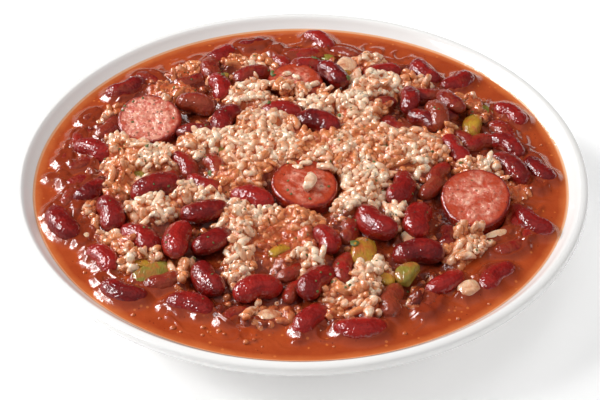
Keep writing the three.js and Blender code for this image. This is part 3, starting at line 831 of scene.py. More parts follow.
def sausage_material():
    """Coarse pink meat with fat, pepper and chilli specks, inside a dark red glossy skin."""
    material, tree, shader, where = new_material("smoked_sausage")
    minced = tree.effect("mottle", Vector=where, Scale=460.0, Low=colour("sausage"),
                         High=paint(242, 176, 150), Edge=0.12)
    tone = minced["Colour"]
    specks = (
        (430.0, 0.4, 0.22, 0.8, paint(190, 42, 30)), (370.0, 0.42, 0.2, 0.75, paint(246, 206, 184)),
        (640.0, 0.42, 0.16, 0.8, paint(92, 84, 60)), (820.0, 0.4, 0.14, 0.8, paint(110, 26, 20)),
    )
    for scale, size, share, strength, tint in specks:
        tone = tree.sprinkle(tone, where, tint, strength, Scale=scale, Size=size, Share=share)
    coat = tree.attribute("coat")
    tone = tree.mix(tree.spread(coat, 0.1, 0.8, 0.0, 0.4), tone, paint(208, 96, 64))
    rim = tree.spread(tree.attribute("across"), 0.5, 0.98)
    browned = tree.plus(tree.times(coat, 0.9), 0.2)
    tone = tree.mix(tree.times(rim, browned), tone, paint(158, 48, 24))
    amount = tree.plus(coat, tree.times(rim, 0.3))
    sauced = tree.effect("sauce film", Vector=where, Scale=180.0, Amount=amount, Colour=tone,
                         Sauce=paint(176, 60, 30))
    browning = tree.spread(tree.noise(where, 3.0, 4.0), 0.4, 0.75)
    skin = tree.mix(browning, colour("casing"), paint(176, 48, 20))
    cut = tree.attribute("cut")
    tree.feed(shader.inputs["Base Color"], tree.mix(cut, skin, sauced["Colour"]))
    wet = tree.spread(sauced["Mask"], 0, 1, 0.36, 0.16)
    tree.feed(shader.inputs["Roughness"], tree.mix(cut, (0.14, 0.14, 0.14, 1), wet))
    crumb = tree.times(minced["Mask"], tree.spread(sauced["Mask"], 0, 1, 0.5, 0.1))
    relief(tree, shader, tree.plus(tree.noise(where, 1.6, 1.5), crumb), 0.42, coat=True)
    clear_coat(shader, 1.0, 0.06, ior=1.65, specular=0.25)
    return material


def vegetable_material(kind):
    """Soft cooked vegetable with long fibres, glossy with sauce."""
    material, tree, shader, where = new_material(f"cooked_{kind}")
    own = colour(kind)
    deep = tuple(c * s for c, s in zip(own[:3], (0.82, 0.6, 0.5))) + (1,)
    bright = tuple(min(1, c * 1.5) for c in own[:3]) + (1,)
    tone = tree.effect("mottle", Vector=where, Scale=220.0, Low=own, High=deep, Edge=0.22)
    patches = tree.spread(tree.noise(where, 6.0), 0.5, 0.75, 0, 0.6)
    tone = tree.mix(patches, tone["Colour"], bright)
    sauced = tree.effect("sauce film", Vector=where, Scale=180.0, Amount=0.34, Colour=tone,
                         Sauce=paint(186, 92, 44))
    tree.feed(shader.inputs["Base Color"], sauced["Colour"])
    shader.inputs["Roughness"].default_value = 0.22
    long_way = tree.add("ShaderNodeMapping", {"Vector": where, "Scale": (1, 0.35, 1)}).outputs[0]
    relief(tree, shader, tree.noise(long_way, 1.1, 1.5), 0.4, coat=True)
    clear_coat(shader, 0.9, 0.06)
    let_light_in(shader, 0.3, (1.0, 0.7, 0.3), 1.5)
    return material


def crumb_material(name, low, high, scale, edge, roughness, lump, depth, coat=0.0):
    """A mottled finish for pieces that are a few millimetres across at most."""
    material, tree, shader, where = new_material(name)
    tone = tree.effect("mottle", Vector=where, Scale=scale, Low=low, High=high, Edge=edge)
    tree.feed(shader.inputs["Base Color"], tone["Colour"])
    shader.inputs["Roughness"].default_value = roughness
    clear_coat(shader, coat, 0.03)
    relief(tree, shader, tree.noise(where, lump), depth)
    return material


# ---- What the pieces lie on and against ----


def tree_of(pieces):
    """A search tree, in millimetres, of the faces of several pieces."""
    points, faces = [], []
    for piece in pieces:
        start = len(points)
        points += [v.co / MM for v in piece.data.vertices]
        faces += [[start + i for i in face.vertices] for face in piece.data.polygons]
    return BVHTree.FromPolygons(points, faces)


def pieces_named(*starts):
    """The pieces whose names start in one of several ways."""
    found = [piece for piece in bpy.data.objects if piece.name.startswith(starts)]
    if not found:
        raise RuntimeError(f"the steps that make {', '.join(starts)} come before this one")
    return found


def drop(surface, x, y):
    """Where a plumb line first meets a surface, and the normal there, or None for both."""
    above_all = 60
    return surface.ray_cast(Vector((x, y, above_all)), Vector((0, 0, -1)))[:2]


def climbs(tree, points, height, reach):
    """How far a liquid climbs at each point, at an even slope, to the pieces that stand in it."""
    soft, search = 5.0, 1.9 * reach
    rise = np.zeros(len(points))
    for i, point in enumerate(points):
        place, normal, _, distance = tree.find_nearest(Vector(point), search)
        if place is None:
            continue
        if (Vector(point) - place).dot(normal) < 0:
            distance = 0.0
        rise[i] = height * math.log1p(math.exp(soft * (1 - distance / reach))) / soft
    return rise


class Field:
    """A square net of heights over the plate, which grains land on one after another."""

    def __init__(self, half, pitch, surface):
        self.half, self.pitch = half, pitch
        self.side = int(2 * half / pitch) + 1
        axis = np.arange(self.side) * pitch - half
        self.x, self.y = np.meshgrid(axis, axis, indexing="ij")
        self.roof = TOP - 0.2
        self.height = self.cast(surface)
        self.ground = self.height.copy()
        self.tops = self.ground
        self.blocked = np.zeros(self.x.shape, dtype=bool)

    def cast(self, surface):
        heights = np.full(self.x.shape, -1.0)
        for i in range(self.side):
            for j in range(self.side):
                place = drop(surface, self.x[i, j], self.y[i, j])[0]
                if place is not None:
                    heights[i, j] = place.z
        return heights

    def index(self, x, y):
        return int(round((x + self.half) / self.pitch)), int(round((y + self.half) / self.pitch))

    def cells(self, x, y):
        """The net's points nearest to many places, kept inside the net."""
        nearest = (np.rint((v + self.half) / self.pitch).astype(int) for v in (x, y))
        return tuple(np.clip(n, 0, self.side - 1) for n in nearest)

    def at(self, x, y):
        return self.height[self.cells(x, y)]

    def level_at(self, x, y):
        """The height of the heaped grains, smoothed, or of the ground where none lie."""
        rounds = 3
        heap = np.where(self.ground > 0, self.height - self.ground, 0)
        for _ in range(rounds):
            for axis in (0, 1):
                heap = (np.roll(heap, 1, axis) + heap + np.roll(heap, -1, axis)) / 3
        cells = self.cells(x, y)
        return self.ground[cells] + heap[cells]

    def block(self, surface, room):
        """Mark the places where pieces stand out of the ground, with room round them."""
        least = 0.25
        self.tops = self.cast(surface)
        standing = self.tops > self.ground + least
        reach = int(math.ceil(room / self.pitch))
        for di in range(-reach, reach + 1):
            for dj in range(-reach, reach + 1):
                if math.hypot(di, dj) * self.pitch <= room:
                    self.blocked |= np.roll(np.roll(standing, di, 0), dj, 1)

    def land(self, grain):
        """Raise the net where a grain now lies."""
        heading, tilt, length, width = (grain[k] for k in ("heading", "tilt", "length", "width"))
        reach = int(length / 2 / self.pitch) + 1
        i, j = self.index(grain["x"], grain["y"])
        window = (slice(max(i - reach, 0), i + reach + 1), slice(max(j - reach, 0), j + reach + 1))
        dx, dy = self.x[window] - grain["x"], self.y[window] - grain["y"]
        along = dx * math.cos(heading) + dy * math.sin(heading)
        beside = -dx * math.sin(heading) + dy * math.cos(heading)
        flat = length / 2 * math.cos(tilt) + 1e-6
        left = 1 - (along / flat) ** 2 - (beside / (width / 2)) ** 2
        top = grain["z"] + along * math.tan(tilt) + width / 2 * np.sqrt(np.clip(left, 0, None))
        self.height[window] = np.where(
            left > 0, np.maximum(self.height[window], top), self.height[window])


# ---- Operators ----


class PLATE_OT_stage(bpy.types.Operator):
    """Set the camera, the soft studio light and the pale floor"""

    bl_idname = "plate.set_stage"
    bl_label = "Set Stage"

    def execute(self, context):
        scene = context.scene
        self.set_camera(scene)
        for row in SOFTBOXES:
            self.add_softbox(scene, *row)
        self.set_world(scene)
        self.lay_floor(scene)
        scene.view_settings.view_transform = "Standard"
        return {"FINISHED"}

    def set_camera(self, scene):
        camera = bpy.data.cameras.new("camera")
        camera.sensor_width, camera.lens = SENSOR_WIDTH, LENS
        camera.clip_start, camera.clip_end = 0.01, 20
        holder = bpy.data.objects.new("camera", camera)
        scene.collection.objects.link(holder)
        elevation = math.radians(CAMERA_ELEVATION)
        back = Vector((0, -math.cos(elevation), math.sin(elevation)))
        holder.location = Vector(CAMERA_TARGET) + back * CAMERA_DISTANCE
        holder.rotation_euler = back.to_track_quat("Z", "Y").to_euler()
        scene.camera = holder

    def add_softbox(self, scene, name, place, wide, high, power, mirrored):
        """A soft light aimed at the food, which glossy things need not mirror."""
        light = bpy.data.lights.new(name, "AREA")
        light.shape, light.size, light.size_y, light.energy = "RECTANGLE", wide, high, power
        holder = bpy.data.objects.new(name, light)
        holder.location = place
        holder.visible_glossy = mirrored
        aim = Vector(LIGHT_TARGET) - Vector(place)
        holder.rotation_euler = aim.to_track_quat("-Z", "Y").to_euler()
        scene.collection.objects.link(holder)

    def set_world(self, scene):
        """A bright ceiling over dimmer walls, the far one the dimmest."""
        world = bpy.data.worlds.new("studio")
        world.use_nodes = True
        tree = Tree(world.node_tree)
        way = tree.add("ShaderNodeTexCoord").outputs["Generated"]
        way = tree.add("ShaderNodeSeparateXYZ", {"Vector": way}).outputs
        walls = tree.spread(way["Y"], 0.05, 0.5, 0.15, 0.05)
        ceiling = tree.spread(way["Z"], 0.68, 0.9, 0.0, 0.1)
        background = world.node_tree.nodes["Background"]
        background.inputs["Color"].default_value = (1, 1, 1, 1)
        tree.feed(background.inputs["Strength"], tree.plus(walls, ceiling))
        scene.world = world

    def lay_floor(self, scene):
        """A sheet of pale paper that glows faintly, so that shadows stay soft."""
        half_side = 3000
        bm = bmesh.new()
        bmesh.ops.create_grid(bm, x_segments=8, y_segments=8, size=half_side)
        material, tree, shader, where = new_material("floor_paper")
        tone = tree.effect("mottle", Vector=where, Scale=6.0, Low=(0.89, 0.89, 0.89, 1),
                           High=(0.91, 0.91, 0.91, 1), Edge=0.4)
        tree.feed(shader.inputs["Base Color"], tone["Colour"])
        shader.inputs["Roughness"].default_value = 0.9
        shader.inputs["Emission Color"].default_value = (1, 1, 1, 1)
        shader.inputs["Emission Strength"].default_value = 0.22
        mesh = as_mesh(bm, "floor")
        mesh.transform(Matrix.Scale(MM, 4))
        mesh.materials.append(material)
        floor = bpy.data.objects.new("floor", mesh)
        scene.collection.objects.link(floor)


class PLATE_OT_bowl(bpy.types.Operator):
    """Turn the white bowl"""

    bl_idname = "plate.make_bowl"
    bl_label = "Make Bowl"

    def execute(self, context):
        radius, finer, steps = sizes()["radius"], 7, 192
        line = smooth_line(BOWL_SECTION, finer)
        section = [(min(max(p.x, 0), radius), max(p.y, 0)) for p in line]
        finish_piece("glazed_bowl", spun(section, steps), glaze_material(), ["bowl"])
        return {"FINISHED"}


class PLATE_OT_beans(bpy.types.Operator):
    """Lay the kidney beans, free and half sunk"""

    bl_idname = "plate.lay_beans"
    bl_label = "Lay Beans"

    def execute(self, context):
        skin = bean_material()
        draws = Draws(SEED)
        chance = np.random.default_rng(SEED)
        ball = ball_mesh("ball", 56, 30)
        for number, (heading, length) in enumerate(BEANS, 1):
            turn = bean_turn(heading, draws)
            coat = COATED.get(number, 0.0) + 0.1 * chance.random()
            node = f"bean_{number:02d}"
            mesh = placed_bean(node, ball, length, turn, coat, chance.random())
            seat(mesh, node)
            self.wet(mesh)
            finish_piece(f"kidney_{node}", mesh, skin, [node])
        ball = ball_mesh("small_ball", 40, 22)
        meshes = []
        for x, y, heading, length, rise in SUNK_BEANS + DEEP_BEANS:
            turn = bean_turn(heading, draws)
            coat = 0.25 + 0.4 * chance.random()
            mesh = placed_bean("sunk", ball, length, turn, coat, chance.random())
            set_down(mesh, x, y, rise)
            self.wet(mesh)
            meshes.append(mesh)
        finish_piece("sunk_beans", meshes, skin, ["rice"])
        return {"FINISHED"}

    def wet(self, mesh):
        """More gravy clings to a bean near the level that it lies in."""
        most, reach = 0.4, 2.6
        points = points_of(mesh)
        above = points[:, 2] - food_height(points[:, 0], points[:, 1])
        set_attribute(mesh, "wet", most * np.clip(1 - above / reach, 0, 1))


class PLATE_OT_sausage(bpy.types.Operator):
    """Cut and lay the slices of sausage"""

    bl_idname = "plate.lay_sausage"
    bl_label = "Lay Sausage"

    def execute(self, context):
        material = sausage_material()
        half = sizes()["slice_thickness"] / 2
        for number, (diameter, lean, heading, sauce) in enumerate(SLICES, 1):
            mesh = self.slice_mesh(diameter / 2, half, number)
            set_attribute(mesh, "coat", np.full(len(mesh.vertices), sauce))
            way = math.radians(heading)
            hinge = Vector((-math.sin(way), math.cos(way), 0))
            mesh.transform(Matrix.Rotation(math.radians(lean), 4, hinge))
            node = f"sausage_{number}"
            seat(mesh, node)
            finish_piece(f"sausage_slice_{number}", mesh, material, [node])
        return {"FINISHED"}

    def slice_mesh(self, radius, half, number):
        """A slice with a round-edged skin, and coarse cut faces that swell inside it."""
        edge, inset, casing, rings, steps = 1.2, 1.7, 0.7, 26, 120
        lip = [(radius - edge + edge * math.cos(a), half - edge + edge * math.sin(a))
               for a in (math.radians(18 * step) for step in range(6))]
        face = [((radius - inset) * (1 - i / rings), half) for i in range(rings + 1)]
        side = [(radius, (half - edge) * (1 - i / 4)) for i in range(1, 4)]
        upper = side[::-1] + lip + face
        line = [(r, -z) for r, z in reversed(upper)] + [(radius, 0)] + upper
        mesh = as_mesh(spun(line, steps), "slice")
        points = points_of(mesh)
        angle = np.arctan2(points[:, 1], points[:, 0])
        share = np.hypot(points[:, 0], points[:, 1]) / radius
        top = np.abs(points[:, 2]) > half - 0.5 * edge
        inside = np.clip((1 - share) * radius - casing, 0, 1) * top
        set_attribute(mesh, "across", share)
        set_attribute(mesh, "cut", inside)
        coarse = 0.2 * noise_at(points, 1.3, number * 9) + 0.3 * noise_at(points, 4.5, number)
        swell = 0.35 * (1 - share ** 2) - 0.25
        points[:, 2] += np.sign(points[:, 2]) * inside * (coarse + swell)
        round_rim = np.stack([3 * np.cos(angle), 3 * np.sin(angle), share], 1)
        rim = 0.4 * noise_at(round_rim, 1.0, number)
        points[:, 2] += np.sign(points[:, 2]) * top * (1 - inside) * (rim - 0.1)
        oval = 1 + 0.03 * np.cos(2 * angle + number) + 0.016 * np.sin(3 * angle + 2 * number)
        across = np.stack([np.cos(angle) * 4, np.sin(angle) * 4, points[:, 2] * 0.25], 1)
        wrinkle = 0.012 * noise_at(across, 1.0, 3) + 0.006 * noise_at(across, 0.4, 5)
        points[:, :2] *= (oval + wrinkle * np.clip(share, 0, 1) ** 4)[:, None]
        move_points(mesh, points)
        return mesh


class PLATE_OT_vegetables(bpy.types.Operator):
    """Scatter the diced onion, pepper and celery"""

    bl_idname = "plate.scatter_vegetables"
    bl_label = "Scatter Vegetables"

    def execute(self, context):
        materials = {kind: vegetable_material(kind) for kind in ("onion", "pepper", "celery")}
        for node, kind, *form, heading, roll in VEGETABLES:
            mesh = self.dice(*form, heading, roll, len(node) + heading)
            seat(mesh, node)
            self.finish(f"diced_{node}", mesh, materials[kind], node)
        for kind in materials:
            meshes = []
            for x, y, rise, *form in (row[1:] for row in BITS if row[0] == kind):
                mesh = self.dice(*form, x + y)
                set_down(mesh, x, y, rise)
                meshes.append(mesh)
            self.finish(f"soft_bits_{kind}", meshes, materials[kind], "rice")
        return {"FINISHED"}

    def dice(self, length, width, thick, curl, heading, roll, lumps):
        """A curled, uneven block with rounded edges, turned about its own middle."""
        rounding, narrow_ends, short_sides = 0.28, 0.2, 0.16
        bm = bmesh.new()
        bmesh.ops.create_cube(bm, size=1, matrix=Matrix.Diagonal((length, width, thick, 1)))
        bmesh.ops.bevel(
            bm, geom=list(bm.edges), offset=rounding * thick, offset_type="OFFSET", segments=2,
            affect="EDGES", profile=0.5, material=-1)
        bmesh.ops.subdivide_edges(bm, edges=list(bm.edges), cuts=3, use_grid_fill=True)
        mesh = as_mesh(bm, "dice")
        points = points_of(mesh)
        u, v = 2 * points[:, 0] / length, 2 * points[:, 1] / width
        points[:, 2] -= curl * (u * u + 0.4 * v * v - 0.5)
        points[:, 0] *= 1 - short_sides * v * v
        points[:, 1] *= 1 - narrow_ends * u * u
        uneven = 0.45 * noise_at(points, 4.2, lumps) + 0.16 * noise_at(points, 1.7, lumps)
        points *= 1 + uneven[:, None] / np.maximum(np.linalg.norm(points, axis=1), 1.5)[:, None]
        turn = Euler((math.radians(roll), 0, math.radians(heading)), "XYZ").to_matrix()
        move_points(mesh, points @ np.array(turn).T)
        return mesh

    def finish(self, name, source, material, node):
        piece = finish_piece(name, source, material, [node])
        smooth = piece.modifiers.new("smooth", "SUBSURF")
        smooth.levels = smooth.render_levels = 1


class PLATE_OT_mound(bpy.types.Operator):
    """Shape the sauced mound that the toppings and loose grains lie on"""

    bl_idname = "plate.shape_mound"
    bl_label = "Shape Mound"

    def execute(self, context):
        beyond, slope, fade, sauce_depth, meniscus, clearance = 2.5, 0.6, 8, 1.9, 1.7, 0.4
        mesh = self.disc(280)
        points = points_of(mesh)
        under = points[:, 2] < -0.5
        angle = np.arctan2(points[:, 1], points[:, 0])
        edge = mound_edge(angle)
        radius = np.hypot(points[:, 0], points[:, 1]) * (edge + beyond)
        points[:, 0], points[:, 1] = radius * np.cos(angle), radius * np.sin(angle)
        x, y = points[:, 0], points[:, 1]
        plenty, _ = rice_shares(x, y)
        base = food_height(x, y) - slope * np.clip(radius - edge + 0.5, 0, None)
        flat = np.stack([x, y, 0 * x], axis=1)
        calm = np.clip((edge - radius) / fade, 0, 1)
        lumps = 0.8 * noise_at(flat, 11, 3) + 0.5 * noise_at(flat, 4.5, 8)
        knobs = 0.6 * noise_at(flat, 1.5, 5) * plenty + 0.4 * noise_at(flat, 2.2, 1)
        z = base + calm * (lumps + sauce_depth * plenty - sauce_depth)
        z += knobs * np.clip(calm * 4, 0, 1)
        points[:, 2] = z
        z -= climbs(tree_of(pieces_named("sausage_slice")), points, height=2.2, reach=3.5)
        points[:, 2] = z
        near = climbs(tree_of(pieces_named(*TOPPINGS)), points, height=1.0, reach=2.4)
        z += meniscus * near * (1 - 0.7 * plenty)
        points[:, 2] = np.where(under, wall_height(radius) + clearance, z)
        move_points(mesh, points)
        set_attribute(mesh, "rice", np.clip(plenty * 1.3 - 0.15, 0, 1))
        # The nearness also darkens the sauce here, as painted shade.
        set_attribute(mesh, "near", near)
        finish_piece("sauced_mound", mesh, core_material(), ["rice"])
        return {"FINISHED"}

    def disc(self, cells):
        """A square net drawn out to a unit disc, with a wall and a floor under it."""
        bm = bmesh.new()
        bmesh.ops.create_grid(bm, x_segments=cells, y_segments=cells, size=1)
        for vert in bm.verts:
            u, v = vert.co.x, vert.co.y
            vert.co.x = u * math.sqrt(1 - v * v / 2)
            vert.co.y = v * math.sqrt(1 - u * u / 2)
        rim = [edge for edge in bm.edges if edge.is_boundary]
        for radius in (1.0, 0.62):
            made = bmesh.ops.extrude_edge_only(bm, edges=rim)["geom"]
            rim = [item for item in made if isinstance(item, bmesh.types.BMEdge)]
            for vert in (item for item in made if isinstance(item, bmesh.types.BMVert)):
                vert.co = vert.co.xy.normalized().to_3d() * radius
                vert.co.z = -1
        bmesh.ops.edgeloop_fill(bm, edges=rim)
        bmesh.ops.recalc_face_normals(bm, faces=bm.faces)
        return as_mesh(bm, "mound")


class PLATE_OT_gravy(bpy.types.Operator):
    """Pour the ring of gravy round the mound"""

    bl_idname = "plate.pour_gravy"
    bl_label = "Pour Gravy"

    def execute(self, context):
        size = sizes()
        level, mean = size["gravy_level"], size["mound_radius"]
        inner, shore, still, clearance = mean - 3.5, 107.4, 100, 0.2
        meniscus, wall_climb, wall_reach = 2.1, 0.62, 0.7
        rings, steps = 52, 960
        top = [(inner + (shore - inner) * i / rings, level) for i in range(rings + 1)]
        under = [(r, wall_height(r) + clearance)
                 for r in (106, 104, 100, 96, 92, 88, inner + 0.1)]
        mesh = as_mesh(spun(top + under + [(inner, level - 4), top[0]], steps), "gravy")
        points = points_of(mesh)
        upper = points[:, 2] > level - 0.001
        radius = np.hypot(points[:, 0], points[:, 1])
        angle = np.arctan2(points[:, 1], points[:, 0])
        fade = np.clip((still - radius) / (still - mean), 0, 1)
        radius = radius + (mound_edge(angle) - mean) * fade
        points[:, 0], points[:, 1] = radius * np.cos(angle), radius * np.sin(angle)
        flat = np.stack([points[:, 0], points[:, 1], 0 * radius], axis=1)
        ripple = 0.16 * noise_at(flat, 12, 2) + 0.05 * noise_at(flat, 4, 6)
        ripple *= np.clip((shore - radius) / 4, 0, 1)
        lumps = self.lumps(flat)
        ripple += lumps
        near = climbs(tree_of(pieces_named(*TOPPINGS)), points, height=1.0, reach=2.8)
        climb = meniscus * near * np.clip((shore - radius) / 1.5, 0, 1)
        wall = wall_climb * np.exp(-(shore - radius) / wall_reach)
        lifted = level + ripple + climb + wall
        flush = np.minimum(lifted, wall_height(radius) + 0.1)
        lifted = np.where(radius > shore - 0.6, flush, lifted)
        points[:, 2] = np.where(upper, lifted, wall_height(radius) + clearance)
        move_points(mesh, points)
        set_attribute(mesh, "depth", np.maximum(level - wall_height(radius) + 0.4, 0))
        # This nearness, with the humps, darkens the gravy's colour as painted shade.
        set_attribute(mesh, "near", near + 0.55 * lumps)
        piece = finish_piece("gravy_ring", mesh, gravy_material(), ["gravy"])
        piece.data.set_sharp_from_angle(angle=math.radians(80))
        return {"FINISHED"}

    def lumps(self, flat):
        """Humps over what lies sunk near the mound, and the folds of thick gravy round them."""
        count, nearest, band, outermost = 200, 83, 15, 101
        fold_height, fold_width = 0.95, 0.13
        chance = np.random.default_rng(SEED + 3)
        rise = np.zeros(len(flat))
        for _ in range(count):
            angle = chance.uniform(0, 2 * math.pi)
            out = nearest + band * chance.random() ** 1.4
            long_way, width = chance.uniform(1.8, 5.2), chance.uniform(1.2, 2.8)
            height, turn = chance.uniform(0.5, 1.5), angle + math.pi / 2 + chance.normal(0, 0.5)
            dx = flat[:, 0] - out * math.cos(angle)
            dy = flat[:, 1] - out * math.sin(angle)
            along = (dx * math.cos(turn) + dy * math.sin(turn)) / long_way
            beside = (dy * math.cos(turn) - dx * math.sin(turn)) / width
            rise = np.maximum(rise, height * np.exp(-along ** 2 - beside ** 2))
        radius = np.hypot(flat[:, 0], flat[:, 1])
        folds = fold_height * np.exp(-(noise_at(flat, 9.0, 11) / fold_width) ** 2)
        folds *= np.clip(noise_at(flat, 16.0, 4) * 3 + 0.7, 0, 1)
        return np.maximum(rise, folds) * np.clip((outermost - radius) / 4, 0, 1)


class PLATE_OT_rice(bpy.types.Operator):
    """Heap the loose grains of rice"""

    bl_idname = "plate.heap_rice"
    bl_label = "Heap Rice"

    def execute(self, context):
        mound = pieces_named("sauced_mound")[0]
        size = sizes()
        spill, cream_most, peach_most = 1.15, 0.3, 0.62
        self.chance = np.random.default_rng(SEED + 1)
        field = Field(half=94, pitch=0.6, surface=tree_of([mound]))
        field.block(tree_of(pieces_named("sausage_slice")), room=2.6)
        field.block(tree_of(pieces_named(*TOPPINGS)), room=0.8)
        grains = []
        areas = np.array([a * b * (0.3 + plenty) for _, _, a, b, plenty, _ in RICE_ZONES])
        picks = self.chance.choice(
            len(RICE_ZONES), context.scene.bowl_sizes.grain_tries, p=areas / areas.sum())
        for pick in picks:
            mid_x, mid_y, half_x, half_y, _, _ = RICE_ZONES[pick]
            turn = self.chance.uniform(0, 2 * math.pi)
            out = math.sqrt(self.chance.random()) * spill
            x = mid_x + out * half_x * math.cos(turn)
            y = mid_y + out * half_y * math.sin(turn)
            grain = self.settle(field, x, y, size)
            if grain:
                grains.append(grain)
        grains += self.strays(field, size)
        self.fill(mound.data, field)
        grains += [self.on_slice(field, *row, size) for row in GRAINS_ON_SLICE]
        grains += self.perched(field, size)
        kinds = {"cream": [], "peach": [], "soaked": []}
        for grain in grains:
            soaked = grain["soaked"]
            kind = "cream" if soaked < cream_most else "peach" if soaked < peach_most else "soaked"
            kinds[kind].append(grain)
        form = ball_mesh("grain", 8, 6)
        for (kind, members), stain in zip(kinds.items(), (0.0, 0.08, 0.16)):
            mesh = self.grains_mesh(f"rice_{kind}", form, members, field)
            material = rice_material(f"rice_{kind}", stain)
            finish_piece(f"rice_grains_{kind}", mesh, material, ["rice"])
        return {"FINISHED"}

    def lie(self, field, x, y, size, tilt_spread):
        """The place, turn and size of one grain that comes to rest on the field."""
        strands, stretch, thinned, propped = 0.13, 1.85, 0.9, 0.55
        chance = self.chance
        plump = chance.choice([0.74, 1.0, 1.22], p=[0.25, 0.5, 0.25])
        length = size["grain_length"] * chance.uniform(0.68, 1.1) * plump
        width = size["grain_width"] * chance.uniform(0.9, 1.15) * plump
        if chance.random() < strands:
            length, width = stretch * length, thinned * width
        heading = chance.uniform(0, math.pi)
        tilt = math.radians(chance.normal(0, tilt_spread))
        if chance.random() < propped:
            tilt = math.radians(chance.uniform(25, 75) * chance.choice([-1, 1]))
        span = np.linspace(-0.4, 0.4, 5) * length * math.cos(tilt)
        under = field.at(x + span * math.cos(heading), y + span * math.sin(heading))
        needed = under - span * math.tan(tilt)
        rise = 0.25 * needed.max() + 0.75 * needed.mean() + 0.02 * width
        rise = min(rise, field.roof - 0.5 * length * abs(math.sin(tilt)) - 0.5 * width)
        return {"x": x, "y": y, "z": rise, "heading": heading, "tilt": tilt,
                "length": length, "width": width}

    def settle(self, field, x, y, size):
        """A grain that lands in the mound, unless the place is taken or heaped up already."""
        margin, clump_size, patch_size, sinks = 2, 5, 13, 1.3
        i, j = field.index(x, y)
        inside = all(margin < n < field.side - margin for n in (i, j))
        if not inside or field.blocked[i, j]:
            return None
        if math.hypot(x, y) > mound_edge(math.atan2(y, x)) + margin:
            return None
        here, stain = (float(v) for v in rice_shares(np.array(x), np.array(y)))
        clump = 1 + 1.1 * noise.noise(Vector((x / clump_size, y / clump_size, 9.0)))
        if field.height[i, j] - field.ground[i, j] > (0.6 + 2.5 * here * here) * clump:
            return None
        grain = self.lie(field, x, y, size, 17)
        field.land(grain)
        patch = noise.noise(Vector((x / patch_size, y / patch_size, 4.0)))
        grain["soaked"] = np.clip(
            stain + 0.55 * patch + self.chance.normal(0, 0.07) + 0.2 * (1 - here), 0, 1)
        grain["z"] -= sinks * max(grain["soaked"] - 0.3, 0)
        return grain

    def strays(self, field, size):
        """Single grains, well soaked, that lie in the sauce between the heaps."""
        tries, reach, bare = 4200, 90, 0.35
        found = []
        for _ in range(tries):
            turn, out = self.chance.uniform(0, 2 * math.pi), math.sqrt(self.chance.random())
            x, y = reach * out * math.cos(turn), reach * out * math.sin(turn)
            if rice_shares(np.array(x), np.array(y))[0] > bare:
                continue
            grain = self.settle(field, x, y, size)
            if grain:
                grain["z"] -= self.chance.uniform(0.3, 1.1)
                grain["soaked"] = self.chance.uniform(0.1, 0.8)
                found.append(grain)
        return found

    def fill(self, mesh, field):
        """Raise the sauce between the grains, so that they lie half sunk in it."""
        below_tops, stained_more = 0.85, 0.4
        points = points_of(mesh) / MM
        x, y = points[:, 0], points[:, 1]
        _, stain = rice_shares(x, y)
        level = field.level_at(x, y) - below_tops + stained_more * stain
        upper = points[:, 2] > sizes()["gravy_level"] - 4
        points[:, 2] = np.where(upper, np.maximum(points[:, 2], level), points[:, 2])
        move_points(mesh, points * MM)

    def on_slice(self, field, x, y, heading, scale, size):
        """A plain plump grain that lies on a slice of sausage."""
        length, width = 1.2 * scale * size["grain_length"], scale * size["grain_width"]
        top = field.tops[field.index(x, y)]
        return {"x": x, "y": y, "z": top + 0.3 * width, "heading": heading, "tilt": -0.1,
                "length": length, "width": width, "soaked": 0.0}

    def perched(self, field, size):
        """Grains heaped over the edges of the slices."""
        field.height = np.maximum(field.height, field.tops)
        found = []
        for mid_x, mid_y, reach, count in HEAPS_ON_SLICE:
            for _ in range(count):
                turn, out = self.chance.uniform(0, 2 * math.pi), reach * self.chance.random()
                x, y = mid_x + out * math.cos(turn), mid_y + out * math.sin(turn)
                grain = self.lie(field, x, y, size, 12)
                grain["soaked"] = self.chance.uniform(0, 0.5)
                field.land(grain)
                found.append(grain)
        return found

    def grains_mesh(self, name, form, grains, field):
        """All the grains of a kind as one mesh, each one bent and knobbly in its own way."""
        ball = points_of(form)
        faces = [tuple(face.vertices) for face in form.polygons]
        x, y, z = ball.T
        blunt, flattened, bend_limit, knobs, knob_size = -0.42, 0.92, 0.06, 0.3, 1.7
        taper = np.maximum(np.hypot(y, z), 1e-6) ** blunt
        all_points, all_faces, soaked = [], [], []
        for grain in grains:
            length, width = grain["length"], grain["width"]
            bend = np.clip(self.chance.normal(0, 0.03), -bend_limit, bend_limit) * length
            own = np.stack([
                x * length / 2, y * taper * width / 2 + bend * (1 - 2 * x * x),
                z * taper * width / 2 * flattened], axis=1)
            turn = Euler((self.chance.uniform(0, 6.3), -grain["tilt"], grain["heading"]), "XYZ")
            placed = own @ np.array(turn.to_matrix()).T
            middle = np.array([grain["x"], grain["y"], grain["z"]])
            placed *= 1 + knobs * noise_at(placed + middle, knob_size)[:, None]
            placed += middle
            placed[:, 2] = np.minimum(placed[:, 2], field.roof)
            start = len(all_points) * len(ball)
            all_points.append(placed)
            all_faces += [tuple(start + i for i in face) for face in faces]
            top = field.at(placed[:, 0], placed[:, 1])
            # Parts of a grain that lie low under the heap's top count as more soaked: partly sauce,
            # partly painted shade in the crevices.
            deep = np.clip((top - placed[:, 2] - 0.1) / 1.2, 0, 1)
            soaked.append(np.clip(grain["soaked"] * 0.8 + 0.95 * deep, 0, 1.1))
        mesh = bpy.data.meshes.new(name)
        mesh.from_pydata(np.concatenate(all_points), [], all_faces)
        set_attribute(mesh, "soaked", np.concatenate(soaked))
        return mesh


